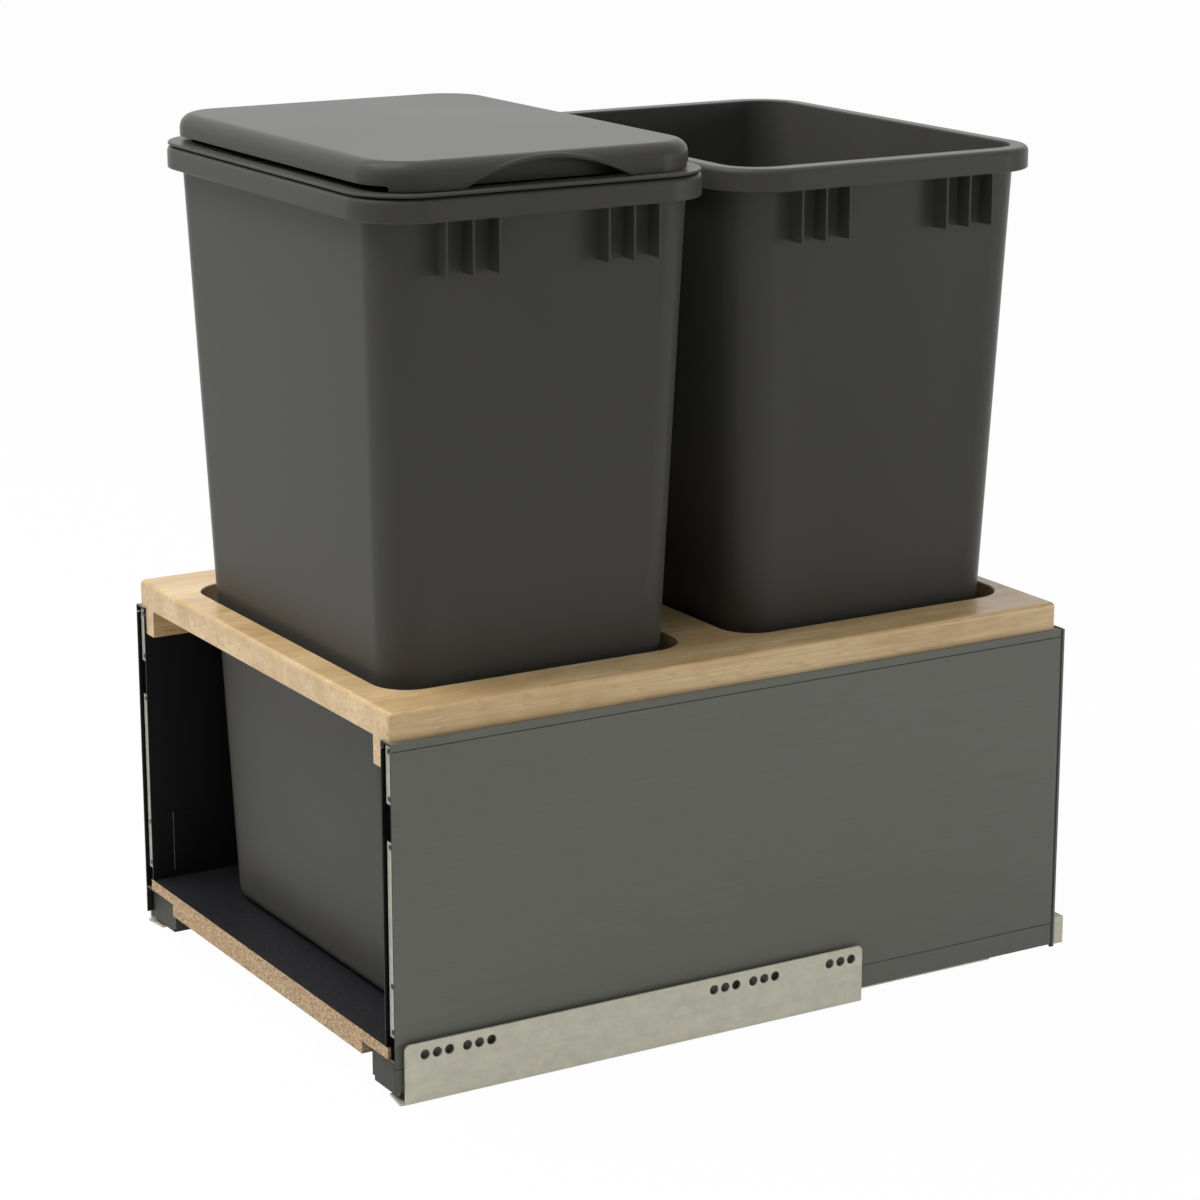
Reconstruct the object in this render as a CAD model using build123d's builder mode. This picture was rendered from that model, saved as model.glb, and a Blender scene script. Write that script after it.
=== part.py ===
"""Bottom-mount pull-out waste unit: a steel-sided drawer with a maple frame and two tall bins.

Millimetres. +Z is up, the drawer pulls out towards -Y, +X is the right-hand side. The origin is the
centre of the unit's bounding box in X and Y, at the underside of the cabinet rails.
"""
import os
from math import cos, radians, sin

from build123d import *

os.makedirs("parts", exist_ok=True)

# ---------------------------------------------------------------- driving dimensions
# Cabinet and drawer side
CABINET_W = 381.0  # clear width between the cabinet's side panels
SIDE_GAP = 4.7  # from the cabinet panel to the drawer side
SIDE_T = 12.8  # double-wall drawer side, over both skins
SIDE_L = 496.3
SIDE_FOOT_Z = 8.0  # underside of the drawer side above the cabinet floor
SIDE_TOP_Z = 228.0
SKIN_OUT_T = 1.0
SKIN_IN_T = 0.8
FOOT_H = 14.7  # visible height of the foot profile below its groove
TRIM_H = 4.8  # visible height of the trim along the side's top
GROOVE = 0.5  # shadow line between skin, foot and trim
SLIP = 0.1  # clearance of a clipped-in piece
LAYER = 0.3  # clearance between bodies that move past each other

# Cabinet rail, middle rail and drawer rail
RAIL_STEEL = 1.5
PLATE_H = 39.3
PLATE_L = 334.0
PLATE_SETBACK = 4.3  # plate's front edge behind the side's front end
PLATE_CORNER_R = 4.0
PLATE_BEND_R = 3.0
TOE_L = 2.4  # how far the flange's outer corner stands out in front of the plate
PLATE_HOLE_D = 6.4
PLATE_HOLE_Z = 31.4
PLATE_HOLE_PITCH = 8.35
PLATE_HOLE_GROUPS = (21.9, 51.0, 228.5, 258.1, 317.0)  # middle hole of each row of three
CHANNEL_W = 24.5
CHANNEL_H = 9.5
CHANNEL_LIP = 5.5
CHANNEL_INSET = 19.5  # channel's outer face from the cabinet's side panel
CHANNEL_SHORTER = 66.3  # channel's length below the side's
CHANNEL_SETBACK = 27.0
MID_RAIL_SHORTER = 48.3
MID_SIDE_PLAY = 0.75
MID_WEB_T = 3.0
ROLLER_D = 3.8
ROLLER_PLAY = 0.1
ROLLER_W = 12.0
ROLLER_PITCH = 15.0
ROLLERS_PER_GROUP = 4
CAGE_L = 190.0
CAGE_T = 2.4
CAGE_W = 18.5
DRAWER_RAIL_END = 2.0  # drawer rail's rear end behind the side's rear end
HOOK_H = 19.0
HOOK_W = 12.0
HOOK_REACH = 9.6
HOOK_BOTTOM_Z = 6.0
CLOSER_L = 120.0
CLOSER_W = 22.0
CLOSER_H = 14.5
CLOSER_STEP_W = 5.0
CLOSER_STEP_H = 4.5
CLOSER_REAR_INSET = 60.0  # closer's rear end in front of the side's rear end
CATCH_L = 12.0
CATCH_W = 4.5
LOCK_W = 36.7
LOCK_L = 22.0
LOCK_BOTTOM_Z = 3.0
LOCK_STEP = 2.8

# Front end of the drawer side
END_FRAME_L = 15.0
FRONT_RECESS = 2.0  # end frame and brackets behind the skins' front end
BRACKET_W = 7.0
BRACKET_T = 2.0
BRACKET_WEB_L = 40.0
UPPER_BRACKET_Z = (189.2, 225.3)
LOWER_BRACKET_Z = (41.5, 165.6)
UPPER_HOLES_Z = (192.4, 222.1)
LOWER_HOLES_Z = (44.8, 74.3, 162.4)
FRONT_HOLE_D = 4.0
FRONT_HOLE_DEPTH = 12.0
CAP_L = 17.0
CAP_H = 42.0
CAP_BOTTOM_Z = 39.0
CAP_SETBACK = 16.1
CAP_PROUD = 0.6
CAP_LEDGE = 0.6
ADJUSTER_D = 8.0
ADJUSTER_SLOT = 1.2

# Base, back and wooden frame
BASE_T = 16.0
BASE_TOP_Z = 34.2
BASE_EDGE_IN_SIDE = 3.0  # how far the base's edge reaches under the inner skin
REBATE_W = 34.7
REBATE_H = 8.4
BACK_T = 16.0
BACK_BRACKET_L = 3.1
BACK_FLANGE_W = 26.0
BACK_FLANGE_Z = (60.0, 215.0)
FRAME_T = 18.0
FRAME_INSET = 3.35  # frame's edge inside the outer face of the drawer side
FRAME_SETBACK = 1.4
FRAME_REAR_SETBACK = 2.0
FRAME_EDGE_R = 3.0
CUTOUT_R = 23.6
CUTOUT_EDGE_R = 1.2
CUTOUT_PLAY_X = 9.5
CUTOUT_PLAY_Y = 6.5
CLEAT_W = 12.0
CLEAT_H = 18.0

# Screws
SCREW_D = 4.0
SCREW_HEAD_D = 8.0
SCREW_HEAD_H = 2.4
SCREW_PLAY = 0.1
SCREW_BITE = 12.0  # length of a screw in the piece it holds
SCREW_TIP = 1.0  # material left past the deepest screw hole
CLEAT_SCREWS = 4
CLEAT_SCREW_INSET = 38.0  # first and last screw from the side's ends
SIDE_SCREWS = 3
SIDE_SCREW_INSET = 100.0
BACK_SCREWS = 3
BACK_SCREW_INSET = 15.0
BASE_SCREWS = 3
BASE_SCREW_INSET = 63.0

# Bins
BIN_H = 508.7
BIN_FRONT_SETBACK = 8.9  # front bin's rim behind the drawer side's front end
BIN_REAR_SETBACK = 0.5
BINS_GAP = 10.1  # between the two rims
BIN_TOP_R = 26.0
BIN_FOOT_R = 25.0
BIN_DRAFT_X = 21.2  # how far each end wall leans out over the bin's height
BIN_DRAFT_Y = 17.8
BIN_WALL = 2.5
BIN_FOOT_EDGE_R = 8.0
RIM_W = 321.8
RIM_R = 39.0
RIM_REACH_X = 12.15  # rim's outer face beyond the end wall
RIM_REACH_Y = 9.05
RIM_H = 14.2
RIM_EDGE_R = 3.5
MOUTH_EDGE_R = 1.2
RIB_Y = (37.2, 54.9, 72.6)  # ribs on each end wall, to both sides of the middle
RIB_T = 1.5
RIB_H = 33.0
RIB_INSET = 0.8

# Lid
RING_INSET = 0.5
RING_T = 2.5
RING_LIP_H = 12.0
RING_LIP_T = 2.0
RING_LIP_PLAY = 0.6
RING_EDGE_R = 0.9
COVER_INSET_X = 7.4  # cover inside the rim's outline
COVER_INSET_Y = 7.7
COVER_R = 34.0
COVER_H = 17.5  # from the skirt's lower edge to the top
COVER_WALL = 2.2
COVER_EDGE_R = 9.0
COVER_RELIEF = 3.6  # how much shorter the skirt is along its sides
COVER_HINGE_RELIEF = 1.6  # and at its hinge end
COVER_RELIEF_INSET = 10.0  # the side reliefs stop this far from both ends
ARCH_W = 114.0
ARCH_H = 14.6
POCKET_DEPTH = 14.0
HINGE_Y = 60.0
HINGE_IN = 4.5  # hinge axis inside the skirt's outer face
HINGE_UP = 7.6  # hinge axis above the ring
HINGE_PIN_D = 3.9
HINGE_PLAY = 0.05
EAR_W = 8.0
EAR_R = 3.4
LUG_T = 4.0
LUG_R = 3.0
LUG_GAP = 0.5

# ---------------------------------------------------------------- derived places
total_l = SIDE_L + BACK_BRACKET_L + HOOK_REACH
front_y = -total_l / 2
side_rear_y = front_y + SIDE_L
plate_x = CABINET_W / 2
side_out_x = plate_x - SIDE_GAP
side_in_x = side_out_x - SIDE_T
skin_out_x = side_out_x - SKIN_OUT_T
skin_in_x = side_in_x + SKIN_IN_T
base_bottom_z = BASE_TOP_Z - BASE_T
rebate_z = base_bottom_z + REBATE_H
base_edge_x = side_in_x + BASE_EDGE_IN_SIDE
foot_top_z = SIDE_FOOT_Z + FOOT_H
trim_z = SIDE_TOP_Z - TRIM_H
frame_top_z = SIDE_TOP_Z + FRAME_T
frame_front_y = front_y + FRAME_SETBACK
back_front_y = side_rear_y - BACK_T
cleat_x = side_in_x - CLEAT_W
rim_d = (SIDE_L - BIN_FRONT_SETBACK - BIN_REAR_SETBACK - BINS_GAP) / 2
bin_front_y = front_y + BIN_FRONT_SETBACK + rim_d / 2
bin_centres_y = {"bin_front": bin_front_y, "bin_rear": bin_front_y + rim_d + BINS_GAP}
bin_top_z = BASE_TOP_Z + BIN_H
bin_top_w = RIM_W - 2 * RIM_REACH_X
bin_top_d = rim_d - 2 * RIM_REACH_Y
bin_foot_w = bin_top_w - 2 * BIN_DRAFT_X
bin_foot_d = bin_top_d - 2 * BIN_DRAFT_Y
ring_top_z = bin_top_z + RING_T
channel_out_x = plate_x - CHANNEL_INSET
channel_mid_x = channel_out_x - CHANNEL_W / 2
channel_in_x = channel_out_x - CHANNEL_W
channel_front_y = front_y + CHANNEL_SETBACK
channel_l = SIDE_L - CHANNEL_SHORTER
channel_rear_y = channel_front_y + channel_l
mid_rail_l = SIDE_L - MID_RAIL_SHORTER
roller_gap = ROLLER_D + 2 * ROLLER_PLAY
plate_front_y = front_y + PLATE_SETBACK
plate_mid_y = plate_front_y + PLATE_L / 2


def keep(part, name):
    """Label a finished piece and write it."""
    part.label = name
    export_step(part, f"parts/{name}.step")


def keep_pair(right_part, name):
    """Write a right-hand piece and its mirror image on the left."""
    keep(right_part, f"{name}_right")
    with BuildPart() as left:
        mirror(right_part, about=Plane.YZ)
    keep(left.part, f"{name}_left")


def section(rear_y):
    """Plane of a cross-section at rear_y: X and Z are its axes, and it extrudes towards the front."""
    return Plane.XZ.offset(-rear_y)


def box_between(low, high, mode=Mode.ADD):
    """Box from its lowest to its highest corner."""
    with Locations(low):
        Box(*(h - l for l, h in zip(low, high)), align=(Align.MIN,) * 3, mode=mode)


def spread(count, low, high):
    """Evenly spaced places from low to high."""
    return [low + (high - low) * k / (count - 1) for k in range(count)]


def screw(point, direction, length, head_sunk=True):
    """Screw whose head's outer face is at point and whose shank runs along direction."""
    place = Plane(origin=point, z_dir=direction)
    with BuildSketch(place) as head:
        Circle(SCREW_HEAD_D / 2)
    with BuildSketch(place) as shank:
        Circle(SCREW_D / 2)
    with BuildSketch(place) as drive:
        for turn in (0, 90):
            Rectangle(SCREW_D, SCREW_D / 5, rotation=turn)
    extrude(head.sketch, amount=SCREW_HEAD_H, taper=40 if head_sunk else 0)
    extrude(shank.sketch, amount=length)
    extrude(drive.sketch, amount=SCREW_HEAD_H / 2, mode=Mode.SUBTRACT)


def screw_hole(point, direction, depth, head_sunk=True):
    """Clearance hole for a screw placed by the same point and direction."""
    place = Plane(origin=point, z_dir=direction)
    with BuildSketch(place) as sink:
        Circle(SCREW_HEAD_D / 2 + SCREW_PLAY)
    with BuildSketch(place) as bore:
        Circle(SCREW_D / 2 + SCREW_PLAY)
    if head_sunk:
        extrude(sink.sketch, amount=SCREW_HEAD_H + SCREW_PLAY, taper=40, mode=Mode.SUBTRACT)
    extrude(bore.sketch, amount=depth, mode=Mode.SUBTRACT)


# ---------------------------------------------------------------- rails
def lipped_channel(floor_z, up):
    """Profile of a lipped channel whose closed side is at floor_z and which opens upwards or downwards."""
    with Locations((channel_mid_x, floor_z + up * RAIL_STEEL / 2)):
        Rectangle(CHANNEL_W, RAIL_STEEL)
    for hand in (-1, 1):
        wall_x = channel_mid_x + hand * (CHANNEL_W - RAIL_STEEL) / 2
        lip_x = channel_mid_x + hand * (CHANNEL_W - CHANNEL_LIP) / 2
        with Locations((wall_x, floor_z + up * CHANNEL_H / 2)):
            Rectangle(RAIL_STEEL, CHANNEL_H)
        with Locations((lip_x, floor_z + up * (CHANNEL_H - RAIL_STEEL / 2))):
            Rectangle(CHANNEL_LIP, RAIL_STEEL)


with BuildPart() as cabinet_rail:
    with BuildSketch(section(channel_rear_y)):
        lipped_channel(0, 1)
    extrude(amount=channel_l)
    with BuildSketch(section(plate_front_y + PLATE_L)):
        with BuildLine():
            Polyline(
                (channel_out_x - RAIL_STEEL, 0),
                (plate_x, 0),
                (plate_x, PLATE_H),
                (plate_x - RAIL_STEEL, PLATE_H),
                (plate_x - RAIL_STEEL, RAIL_STEEL),
                (channel_out_x - RAIL_STEEL, RAIL_STEEL),
                close=True,
            )
        make_face()
    extrude(amount=PLATE_L)
    for inset, bend_r in ((0, PLATE_BEND_R), (RAIL_STEEL, PLATE_BEND_R - RAIL_STEEL)):
        bend_line = cabinet_rail.edges().filter_by(Axis.Y).sort_by_distance((plate_x - inset, plate_mid_y, inset))
        fillet(bend_line[0], bend_r)
    with BuildSketch(Plane.XY):
        with BuildLine():
            Polyline(
                (channel_out_x - RAIL_STEEL, channel_front_y),
                (channel_out_x - RAIL_STEEL, plate_front_y),
                (plate_x - PLATE_BEND_R, plate_front_y - TOE_L),
                (plate_x - PLATE_BEND_R, channel_front_y),
                close=True,
            )
        make_face()
    extrude(amount=RAIL_STEEL)
    plate_corners = cabinet_rail.edges().filter_by(Axis.X).group_by(Axis.Z)[-1]
    fillet(plate_corners, PLATE_CORNER_R)
    with BuildSketch(Plane.YZ.offset(plate_x)):
        for group in PLATE_HOLE_GROUPS:
            with Locations((plate_front_y + group, PLATE_HOLE_Z)):
                with GridLocations(PLATE_HOLE_PITCH, 0, 3, 1):
                    Circle(PLATE_HOLE_D / 2)
    extrude(amount=-2 * RAIL_STEEL, mode=Mode.SUBTRACT)
keep_pair(cabinet_rail.part, "cabinet_rail")

mid_low_z = RAIL_STEEL + roller_gap
mid_high_z = rebate_z - RAIL_STEEL - roller_gap
mid_flange_w = CHANNEL_W - 2 * RAIL_STEEL - 2 * MID_SIDE_PLAY
mid_rear_y = channel_front_y + mid_rail_l
with BuildPart() as mid_rail:
    with BuildSketch(section(mid_rear_y)):
        for flange_z in (mid_low_z + RAIL_STEEL / 2, mid_high_z - RAIL_STEEL / 2):
            with Locations((channel_mid_x, flange_z)):
                Rectangle(mid_flange_w, RAIL_STEEL)
        with Locations((channel_mid_x, (mid_low_z + mid_high_z) / 2)):
            Rectangle(MID_WEB_T, mid_high_z - mid_low_z)
    extrude(amount=mid_rail_l)
keep_pair(mid_rail.part, "mid_rail")

bracket_rear_y = side_rear_y + BACK_BRACKET_L
drawer_rail_front_y = front_y + PLATE_SETBACK + LOCK_L
drawer_rail_rear_y = side_rear_y + DRAWER_RAIL_END
hook_rear_y = bracket_rear_y + HOOK_REACH
hook_web_z = rebate_z - CHANNEL_H
hook_out_x = channel_out_x + HOOK_W
with BuildPart() as drawer_rail:
    with BuildSketch(section(drawer_rail_rear_y)):
        lipped_channel(rebate_z, -1)
    extrude(amount=drawer_rail_rear_y - drawer_rail_front_y)
    box_between(
        (channel_out_x - CHANNEL_LIP, drawer_rail_rear_y - HOOK_W, hook_web_z),
        (hook_out_x, hook_rear_y, hook_web_z + RAIL_STEEL),
    )
    box_between(
        (channel_out_x + SLIP, hook_rear_y - RAIL_STEEL, HOOK_BOTTOM_Z),
        (hook_out_x, hook_rear_y, HOOK_BOTTOM_Z + HOOK_H),
    )
keep_pair(drawer_rail.part, "drawer_rail")

cage_mid_y = (channel_front_y + mid_rear_y) / 2
roller_group_y = CAGE_L / 2 - ROLLERS_PER_GROUP * ROLLER_PITCH / 2
roller_places = [
    cage_mid_y + end * roller_group_y + (k - (ROLLERS_PER_GROUP - 1) / 2) * ROLLER_PITCH
    for end in (-1, 1)
    for k in range(ROLLERS_PER_GROUP)
]
roller_levels = {
    "lower": RAIL_STEEL + roller_gap / 2,
    "upper": rebate_z - RAIL_STEEL - roller_gap / 2,
}
for level, roller_z in roller_levels.items():
    with BuildPart() as cage:
        with Locations((channel_mid_x, cage_mid_y, roller_z)):
            Box(CAGE_W, CAGE_L, CAGE_T)
        for roller_y in roller_places:
            with Locations((channel_mid_x, roller_y, roller_z)):
                Box(ROLLER_W + 2 * LAYER, ROLLER_D + 2 * LAYER, CAGE_T, mode=Mode.SUBTRACT)
    keep_pair(cage.part, f"{level}_cage")
    with BuildPart() as rollers:
        with BuildSketch(Plane.YZ.offset(channel_mid_x - ROLLER_W / 2)):
            for roller_y in roller_places:
                with Locations((roller_y, roller_z)):
                    Circle(ROLLER_D / 2)
        extrude(amount=ROLLER_W)
    keep_pair(rollers.part, f"{level}_rollers")

closer_rear_y = side_rear_y - CLOSER_REAR_INSET
closer_in_x = channel_in_x - CLOSER_W
with BuildPart() as closer:
    with BuildSketch(section(closer_rear_y)):
        with BuildLine():
            Polyline(
                (closer_in_x, 0),
                (channel_in_x, 0),
                (channel_in_x, CLOSER_H - CLOSER_STEP_H),
                (channel_in_x - CLOSER_STEP_W, CLOSER_H - CLOSER_STEP_H),
                (channel_in_x - CLOSER_STEP_W, CLOSER_H),
                (closer_in_x, CLOSER_H),
                close=True,
            )
        make_face()
    extrude(amount=CLOSER_L)
    chamfer(closer.edges().filter_by(Axis.Z).group_by(Axis.X)[0], CLOSER_STEP_W)
keep_pair(closer.part, "soft_closer")

catch_y = closer_rear_y - CLOSER_L / 2
with BuildPart() as catch:
    box_between(
        (channel_in_x - CATCH_W, catch_y, CLOSER_H - CLOSER_STEP_H + 2 * LAYER),
        (channel_in_x, catch_y + CATCH_L, rebate_z),
    )
    fillet(catch.edges().filter_by(Axis.X).group_by(Axis.Z)[0], CATCH_W / 3)
keep_pair(catch.part, "closer_catch")

lock_in_x = channel_in_x + LAYER
lock_out_x = lock_in_x + LOCK_W
shelf_z = rebate_z - SKIN_OUT_T
shelf_in_x = channel_out_x + GROOVE
lock_rear_y = drawer_rail_front_y
lock_screw_places = [(lock_in_x + LOCK_W * share, lock_rear_y - LOCK_L / 2) for share in (0.2, 0.5)]
with BuildPart() as front_lock:
    with BuildSketch(section(lock_rear_y)):
        with BuildLine():
            Polyline(
                (lock_in_x, rebate_z),
                (lock_in_x, LOCK_BOTTOM_Z + LOCK_STEP),
                (lock_in_x + LOCK_STEP, LOCK_BOTTOM_Z + LOCK_STEP),
                (lock_in_x + LOCK_STEP, LOCK_BOTTOM_Z),
                (lock_out_x - LOCK_STEP, LOCK_BOTTOM_Z),
                (lock_out_x, LOCK_BOTTOM_Z + LOCK_STEP),
                (lock_out_x, shelf_z - SLIP),
                (shelf_in_x - SLIP, shelf_z - SLIP),
                (shelf_in_x - SLIP, rebate_z),
                close=True,
            )
        make_face()
    extrude(amount=LOCK_L)
    for screw_x, screw_y in lock_screw_places:
        screw_hole((screw_x, screw_y, LOCK_BOTTOM_Z), (0, 0, 1), 2 * rebate_z)
keep_pair(front_lock.part, "front_lock")

lock_screw_l = BASE_TOP_Z - LOCK_BOTTOM_Z - SCREW_HEAD_H
with BuildPart() as lock_screws:
    for screw_x, screw_y in lock_screw_places:
        screw((screw_x, screw_y, LOCK_BOTTOM_Z), (0, 0, 1), lock_screw_l)
keep_pair(lock_screws.part, "lock_screws")

# ---------------------------------------------------------------- steel drawer side
with BuildPart() as outer_skin:
    box_between(
        (skin_out_x, front_y, foot_top_z + GROOVE),
        (side_out_x, side_rear_y, trim_z - GROOVE),
    )
keep_pair(outer_skin.part, "outer_skin")

cap_front_y = front_y + CAP_SETBACK
cap_low = (cap_front_y, CAP_BOTTOM_Z)
cap_high = (cap_front_y + CAP_L, CAP_BOTTOM_Z + CAP_H)
side_screw_z = SIDE_TOP_Z - CLEAT_H / 2
side_screws_y = spread(SIDE_SCREWS, front_y + SIDE_SCREW_INSET, side_rear_y - SIDE_SCREW_INSET)
with BuildPart() as inner_skin:
    box_between((side_in_x, front_y, BASE_TOP_Z), (skin_in_x, side_rear_y, trim_z - GROOVE))
    box_between(
        (side_in_x, cap_low[0] + CAP_LEDGE, cap_low[1] + CAP_LEDGE),
        (skin_in_x, cap_high[0] - CAP_LEDGE, cap_high[1] - CAP_LEDGE),
        mode=Mode.SUBTRACT,
    )
    for screw_y in side_screws_y:
        screw_hole((cleat_x, screw_y, side_screw_z), (1, 0, 0), SIDE_T + CLEAT_W, head_sunk=False)
keep_pair(inner_skin.part, "inner_skin")

with BuildPart() as top_trim:
    with BuildSketch(section(side_rear_y)):
        with BuildLine():
            Polyline(
                (side_in_x, trim_z),
                (side_in_x, SIDE_TOP_Z),
                (side_out_x, SIDE_TOP_Z),
                (side_out_x, trim_z),
                (skin_out_x, trim_z),
                (skin_out_x, SIDE_TOP_Z - SKIN_OUT_T),
                (skin_in_x, SIDE_TOP_Z - SKIN_OUT_T),
                (skin_in_x, trim_z),
                close=True,
            )
        make_face()
    extrude(amount=SIDE_L)
keep_pair(top_trim.part, "top_trim")

with BuildPart() as side_foot:
    with BuildSketch(section(side_rear_y)):
        with BuildLine():
            Polyline(
                (skin_out_x, SIDE_FOOT_Z),
                (side_out_x, SIDE_FOOT_Z),
                (side_out_x, foot_top_z),
                (skin_out_x, foot_top_z),
                (skin_out_x, rebate_z),
                (shelf_in_x, rebate_z),
                (shelf_in_x, shelf_z),
                (skin_out_x - SKIN_OUT_T, shelf_z),
                (skin_out_x - SKIN_OUT_T, foot_top_z - SKIN_OUT_T),
                (skin_out_x, foot_top_z - SKIN_OUT_T),
                close=True,
            )
        make_face()
    extrude(amount=SIDE_L)
keep_pair(side_foot.part, "side_foot")

# ---------------------------------------------------------------- front end of the side
recess_y = front_y + FRONT_RECESS
bracket_mid_x = (side_in_x + side_out_x) / 2
bracket_ranges = {"upper": (UPPER_BRACKET_Z, UPPER_HOLES_Z), "lower": (LOWER_BRACKET_Z, LOWER_HOLES_Z)}
with BuildPart() as end_frame:
    box_between(
        (skin_in_x + SLIP, recess_y, BASE_TOP_Z + SLIP),
        (skin_out_x - SLIP, recess_y + END_FRAME_L, SIDE_TOP_Z - SKIN_OUT_T - SLIP),
    )
    box_between(
        (base_edge_x + LAYER, recess_y, rebate_z + SLIP),
        (skin_out_x - SKIN_OUT_T - SLIP, recess_y + END_FRAME_L, BASE_TOP_Z + SLIP),
    )
    for (low_z, high_z), _ in bracket_ranges.values():
        box_between(
            (bracket_mid_x - BRACKET_W / 2 - SLIP, recess_y, low_z - SLIP),
            (bracket_mid_x + BRACKET_W / 2 + SLIP, recess_y + END_FRAME_L, high_z + SLIP),
            mode=Mode.SUBTRACT,
        )
keep_pair(end_frame.part, "end_frame")

for level, ((low_z, high_z), holes_z) in bracket_ranges.items():
    with BuildPart() as bracket:
        box_between(
            (bracket_mid_x - BRACKET_W / 2, recess_y, low_z),
            (bracket_mid_x + BRACKET_W / 2, recess_y + BRACKET_T, high_z),
        )
        box_between(
            (bracket_mid_x - BRACKET_T / 2, recess_y, low_z),
            (bracket_mid_x + BRACKET_T / 2, recess_y + BRACKET_WEB_L, min(high_z, trim_z)),
        )
        with BuildSketch(section(recess_y)):
            for hole_z in holes_z:
                with Locations((bracket_mid_x, hole_z)):
                    Circle(FRONT_HOLE_D / 2)
        extrude(amount=-FRONT_HOLE_DEPTH, mode=Mode.SUBTRACT)
    keep_pair(bracket.part, f"front_bracket_{level}")

adjuster_y = cap_front_y + CAP_L / 2
adjusters_z = [CAP_BOTTOM_Z + CAP_H * share for share in (0.27, 0.73)]
with BuildPart() as adjusters:
    adjuster_faces = Plane(origin=(bracket_mid_x - BRACKET_T / 2, 0, 0), x_dir=(0, -1, 0), z_dir=(-1, 0, 0))
    with BuildSketch(adjuster_faces):
        for screw_z in adjusters_z:
            with Locations((-adjuster_y, screw_z)):
                Circle(ADJUSTER_D / 2)
    extrude(amount=bracket_mid_x - BRACKET_T / 2 - skin_in_x - 2 * LAYER)
    with BuildSketch(Plane.YZ.offset(skin_in_x)):
        for screw_z in adjusters_z:
            with Locations((adjuster_y, screw_z)):
                for turn in (0, 90):
                    Rectangle(ADJUSTER_D * 0.6, ADJUSTER_SLOT, rotation=turn)
    extrude(amount=2 * ADJUSTER_SLOT, mode=Mode.SUBTRACT)
keep_pair(adjusters.part, "front_adjusters")

with BuildPart() as cover_cap:
    box_between((side_in_x - CAP_PROUD, *cap_low), (side_in_x, *cap_high))
    fillet(cover_cap.edges().filter_by(Axis.X), CAP_LEDGE)
    box_between(
        (side_in_x, cap_low[0] + CAP_LEDGE + SLIP, cap_low[1] + CAP_LEDGE + SLIP),
        (skin_in_x, cap_high[0] - CAP_LEDGE - SLIP, cap_high[1] - CAP_LEDGE - SLIP),
    )
keep_pair(cover_cap.part, "cover_cap")

# ---------------------------------------------------------------- base and back
back_mid_y = back_front_y + BACK_T / 2
base_screws_x = spread(BASE_SCREWS, BASE_SCREW_INSET - side_in_x, side_in_x - BASE_SCREW_INSET)
back_screws_z = spread(BACK_SCREWS, BACK_FLANGE_Z[0] + BACK_SCREW_INSET, BACK_FLANGE_Z[1] - BACK_SCREW_INSET)
with BuildPart() as base_panel:
    box_between((-base_edge_x, front_y, base_bottom_z), (base_edge_x, side_rear_y, BASE_TOP_Z))
    for hand in (-1, 1):
        with Locations((hand * (base_edge_x - REBATE_W / 2), front_y + SIDE_L / 2, base_bottom_z)):
            Box(
                REBATE_W,
                SIDE_L,
                REBATE_H,
                align=(Align.CENTER, Align.CENTER, Align.MIN),
                mode=Mode.SUBTRACT,
            )
        for screw_x, screw_y in lock_screw_places:
            screw_hole((hand * screw_x, screw_y, rebate_z), (0, 0, 1), BASE_TOP_Z - rebate_z - SCREW_TIP, head_sunk=False)
    for screw_x in base_screws_x:
        screw_hole((screw_x, back_mid_y, base_bottom_z), (0, 0, 1), BASE_T)
keep(base_panel.part, "base_panel")

flange_x = side_in_x - BACK_FLANGE_W / 2
base_screw_depth = SCREW_BITE + SLIP
with BuildPart() as back_panel:
    box_between((-side_in_x + SLIP, back_front_y, BASE_TOP_Z), (side_in_x - SLIP, side_rear_y, SIDE_TOP_Z))
    for screw_x in base_screws_x:
        screw_hole((screw_x, back_mid_y, BASE_TOP_Z), (0, 0, 1), base_screw_depth, head_sunk=False)
    for screw_z in back_screws_z:
        for hand in (-1, 1):
            screw_hole((hand * flange_x, side_rear_y, screw_z), (0, -1, 0), base_screw_depth, head_sunk=False)
keep(back_panel.part, "back_panel")

with BuildPart() as base_screws:
    for screw_x in base_screws_x:
        screw((screw_x, back_mid_y, base_bottom_z), (0, 0, 1), BASE_T + SCREW_BITE)
keep(base_screws.part, "base_screws")

flange_rear_y = side_rear_y + RAIL_STEEL
with BuildPart() as back_bracket:
    box_between((side_in_x, side_rear_y, HOOK_BOTTOM_Z), (side_out_x, bracket_rear_y, SIDE_TOP_Z))
    box_between(
        (side_in_x + RAIL_STEEL, side_rear_y, HOOK_BOTTOM_Z),
        (side_out_x - RAIL_STEEL, bracket_rear_y - RAIL_STEEL, SIDE_TOP_Z),
        mode=Mode.SUBTRACT,
    )
    box_between(
        (side_in_x, side_rear_y, hook_web_z - 2 * LAYER),
        (hook_out_x + LAYER, bracket_rear_y, hook_web_z + RAIL_STEEL + 2 * LAYER),
        mode=Mode.SUBTRACT,
    )
    box_between(
        (side_in_x - BACK_FLANGE_W, side_rear_y, BACK_FLANGE_Z[0]),
        (side_in_x + RAIL_STEEL, flange_rear_y, BACK_FLANGE_Z[1]),
    )
    for screw_z in back_screws_z:
        screw_hole((flange_x, flange_rear_y, screw_z), (0, -1, 0), BACK_T, head_sunk=False)
keep_pair(back_bracket.part, "back_bracket")

with BuildPart() as back_screws:
    for screw_z in back_screws_z:
        for hand in (-1, 1):
            head_y = flange_rear_y + SCREW_HEAD_H
            shank_l = SCREW_HEAD_H + RAIL_STEEL + SCREW_BITE
            screw((hand * flange_x, head_y, screw_z), (0, -1, 0), shank_l, head_sunk=False)
keep(back_screws.part, "back_screws")

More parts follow.
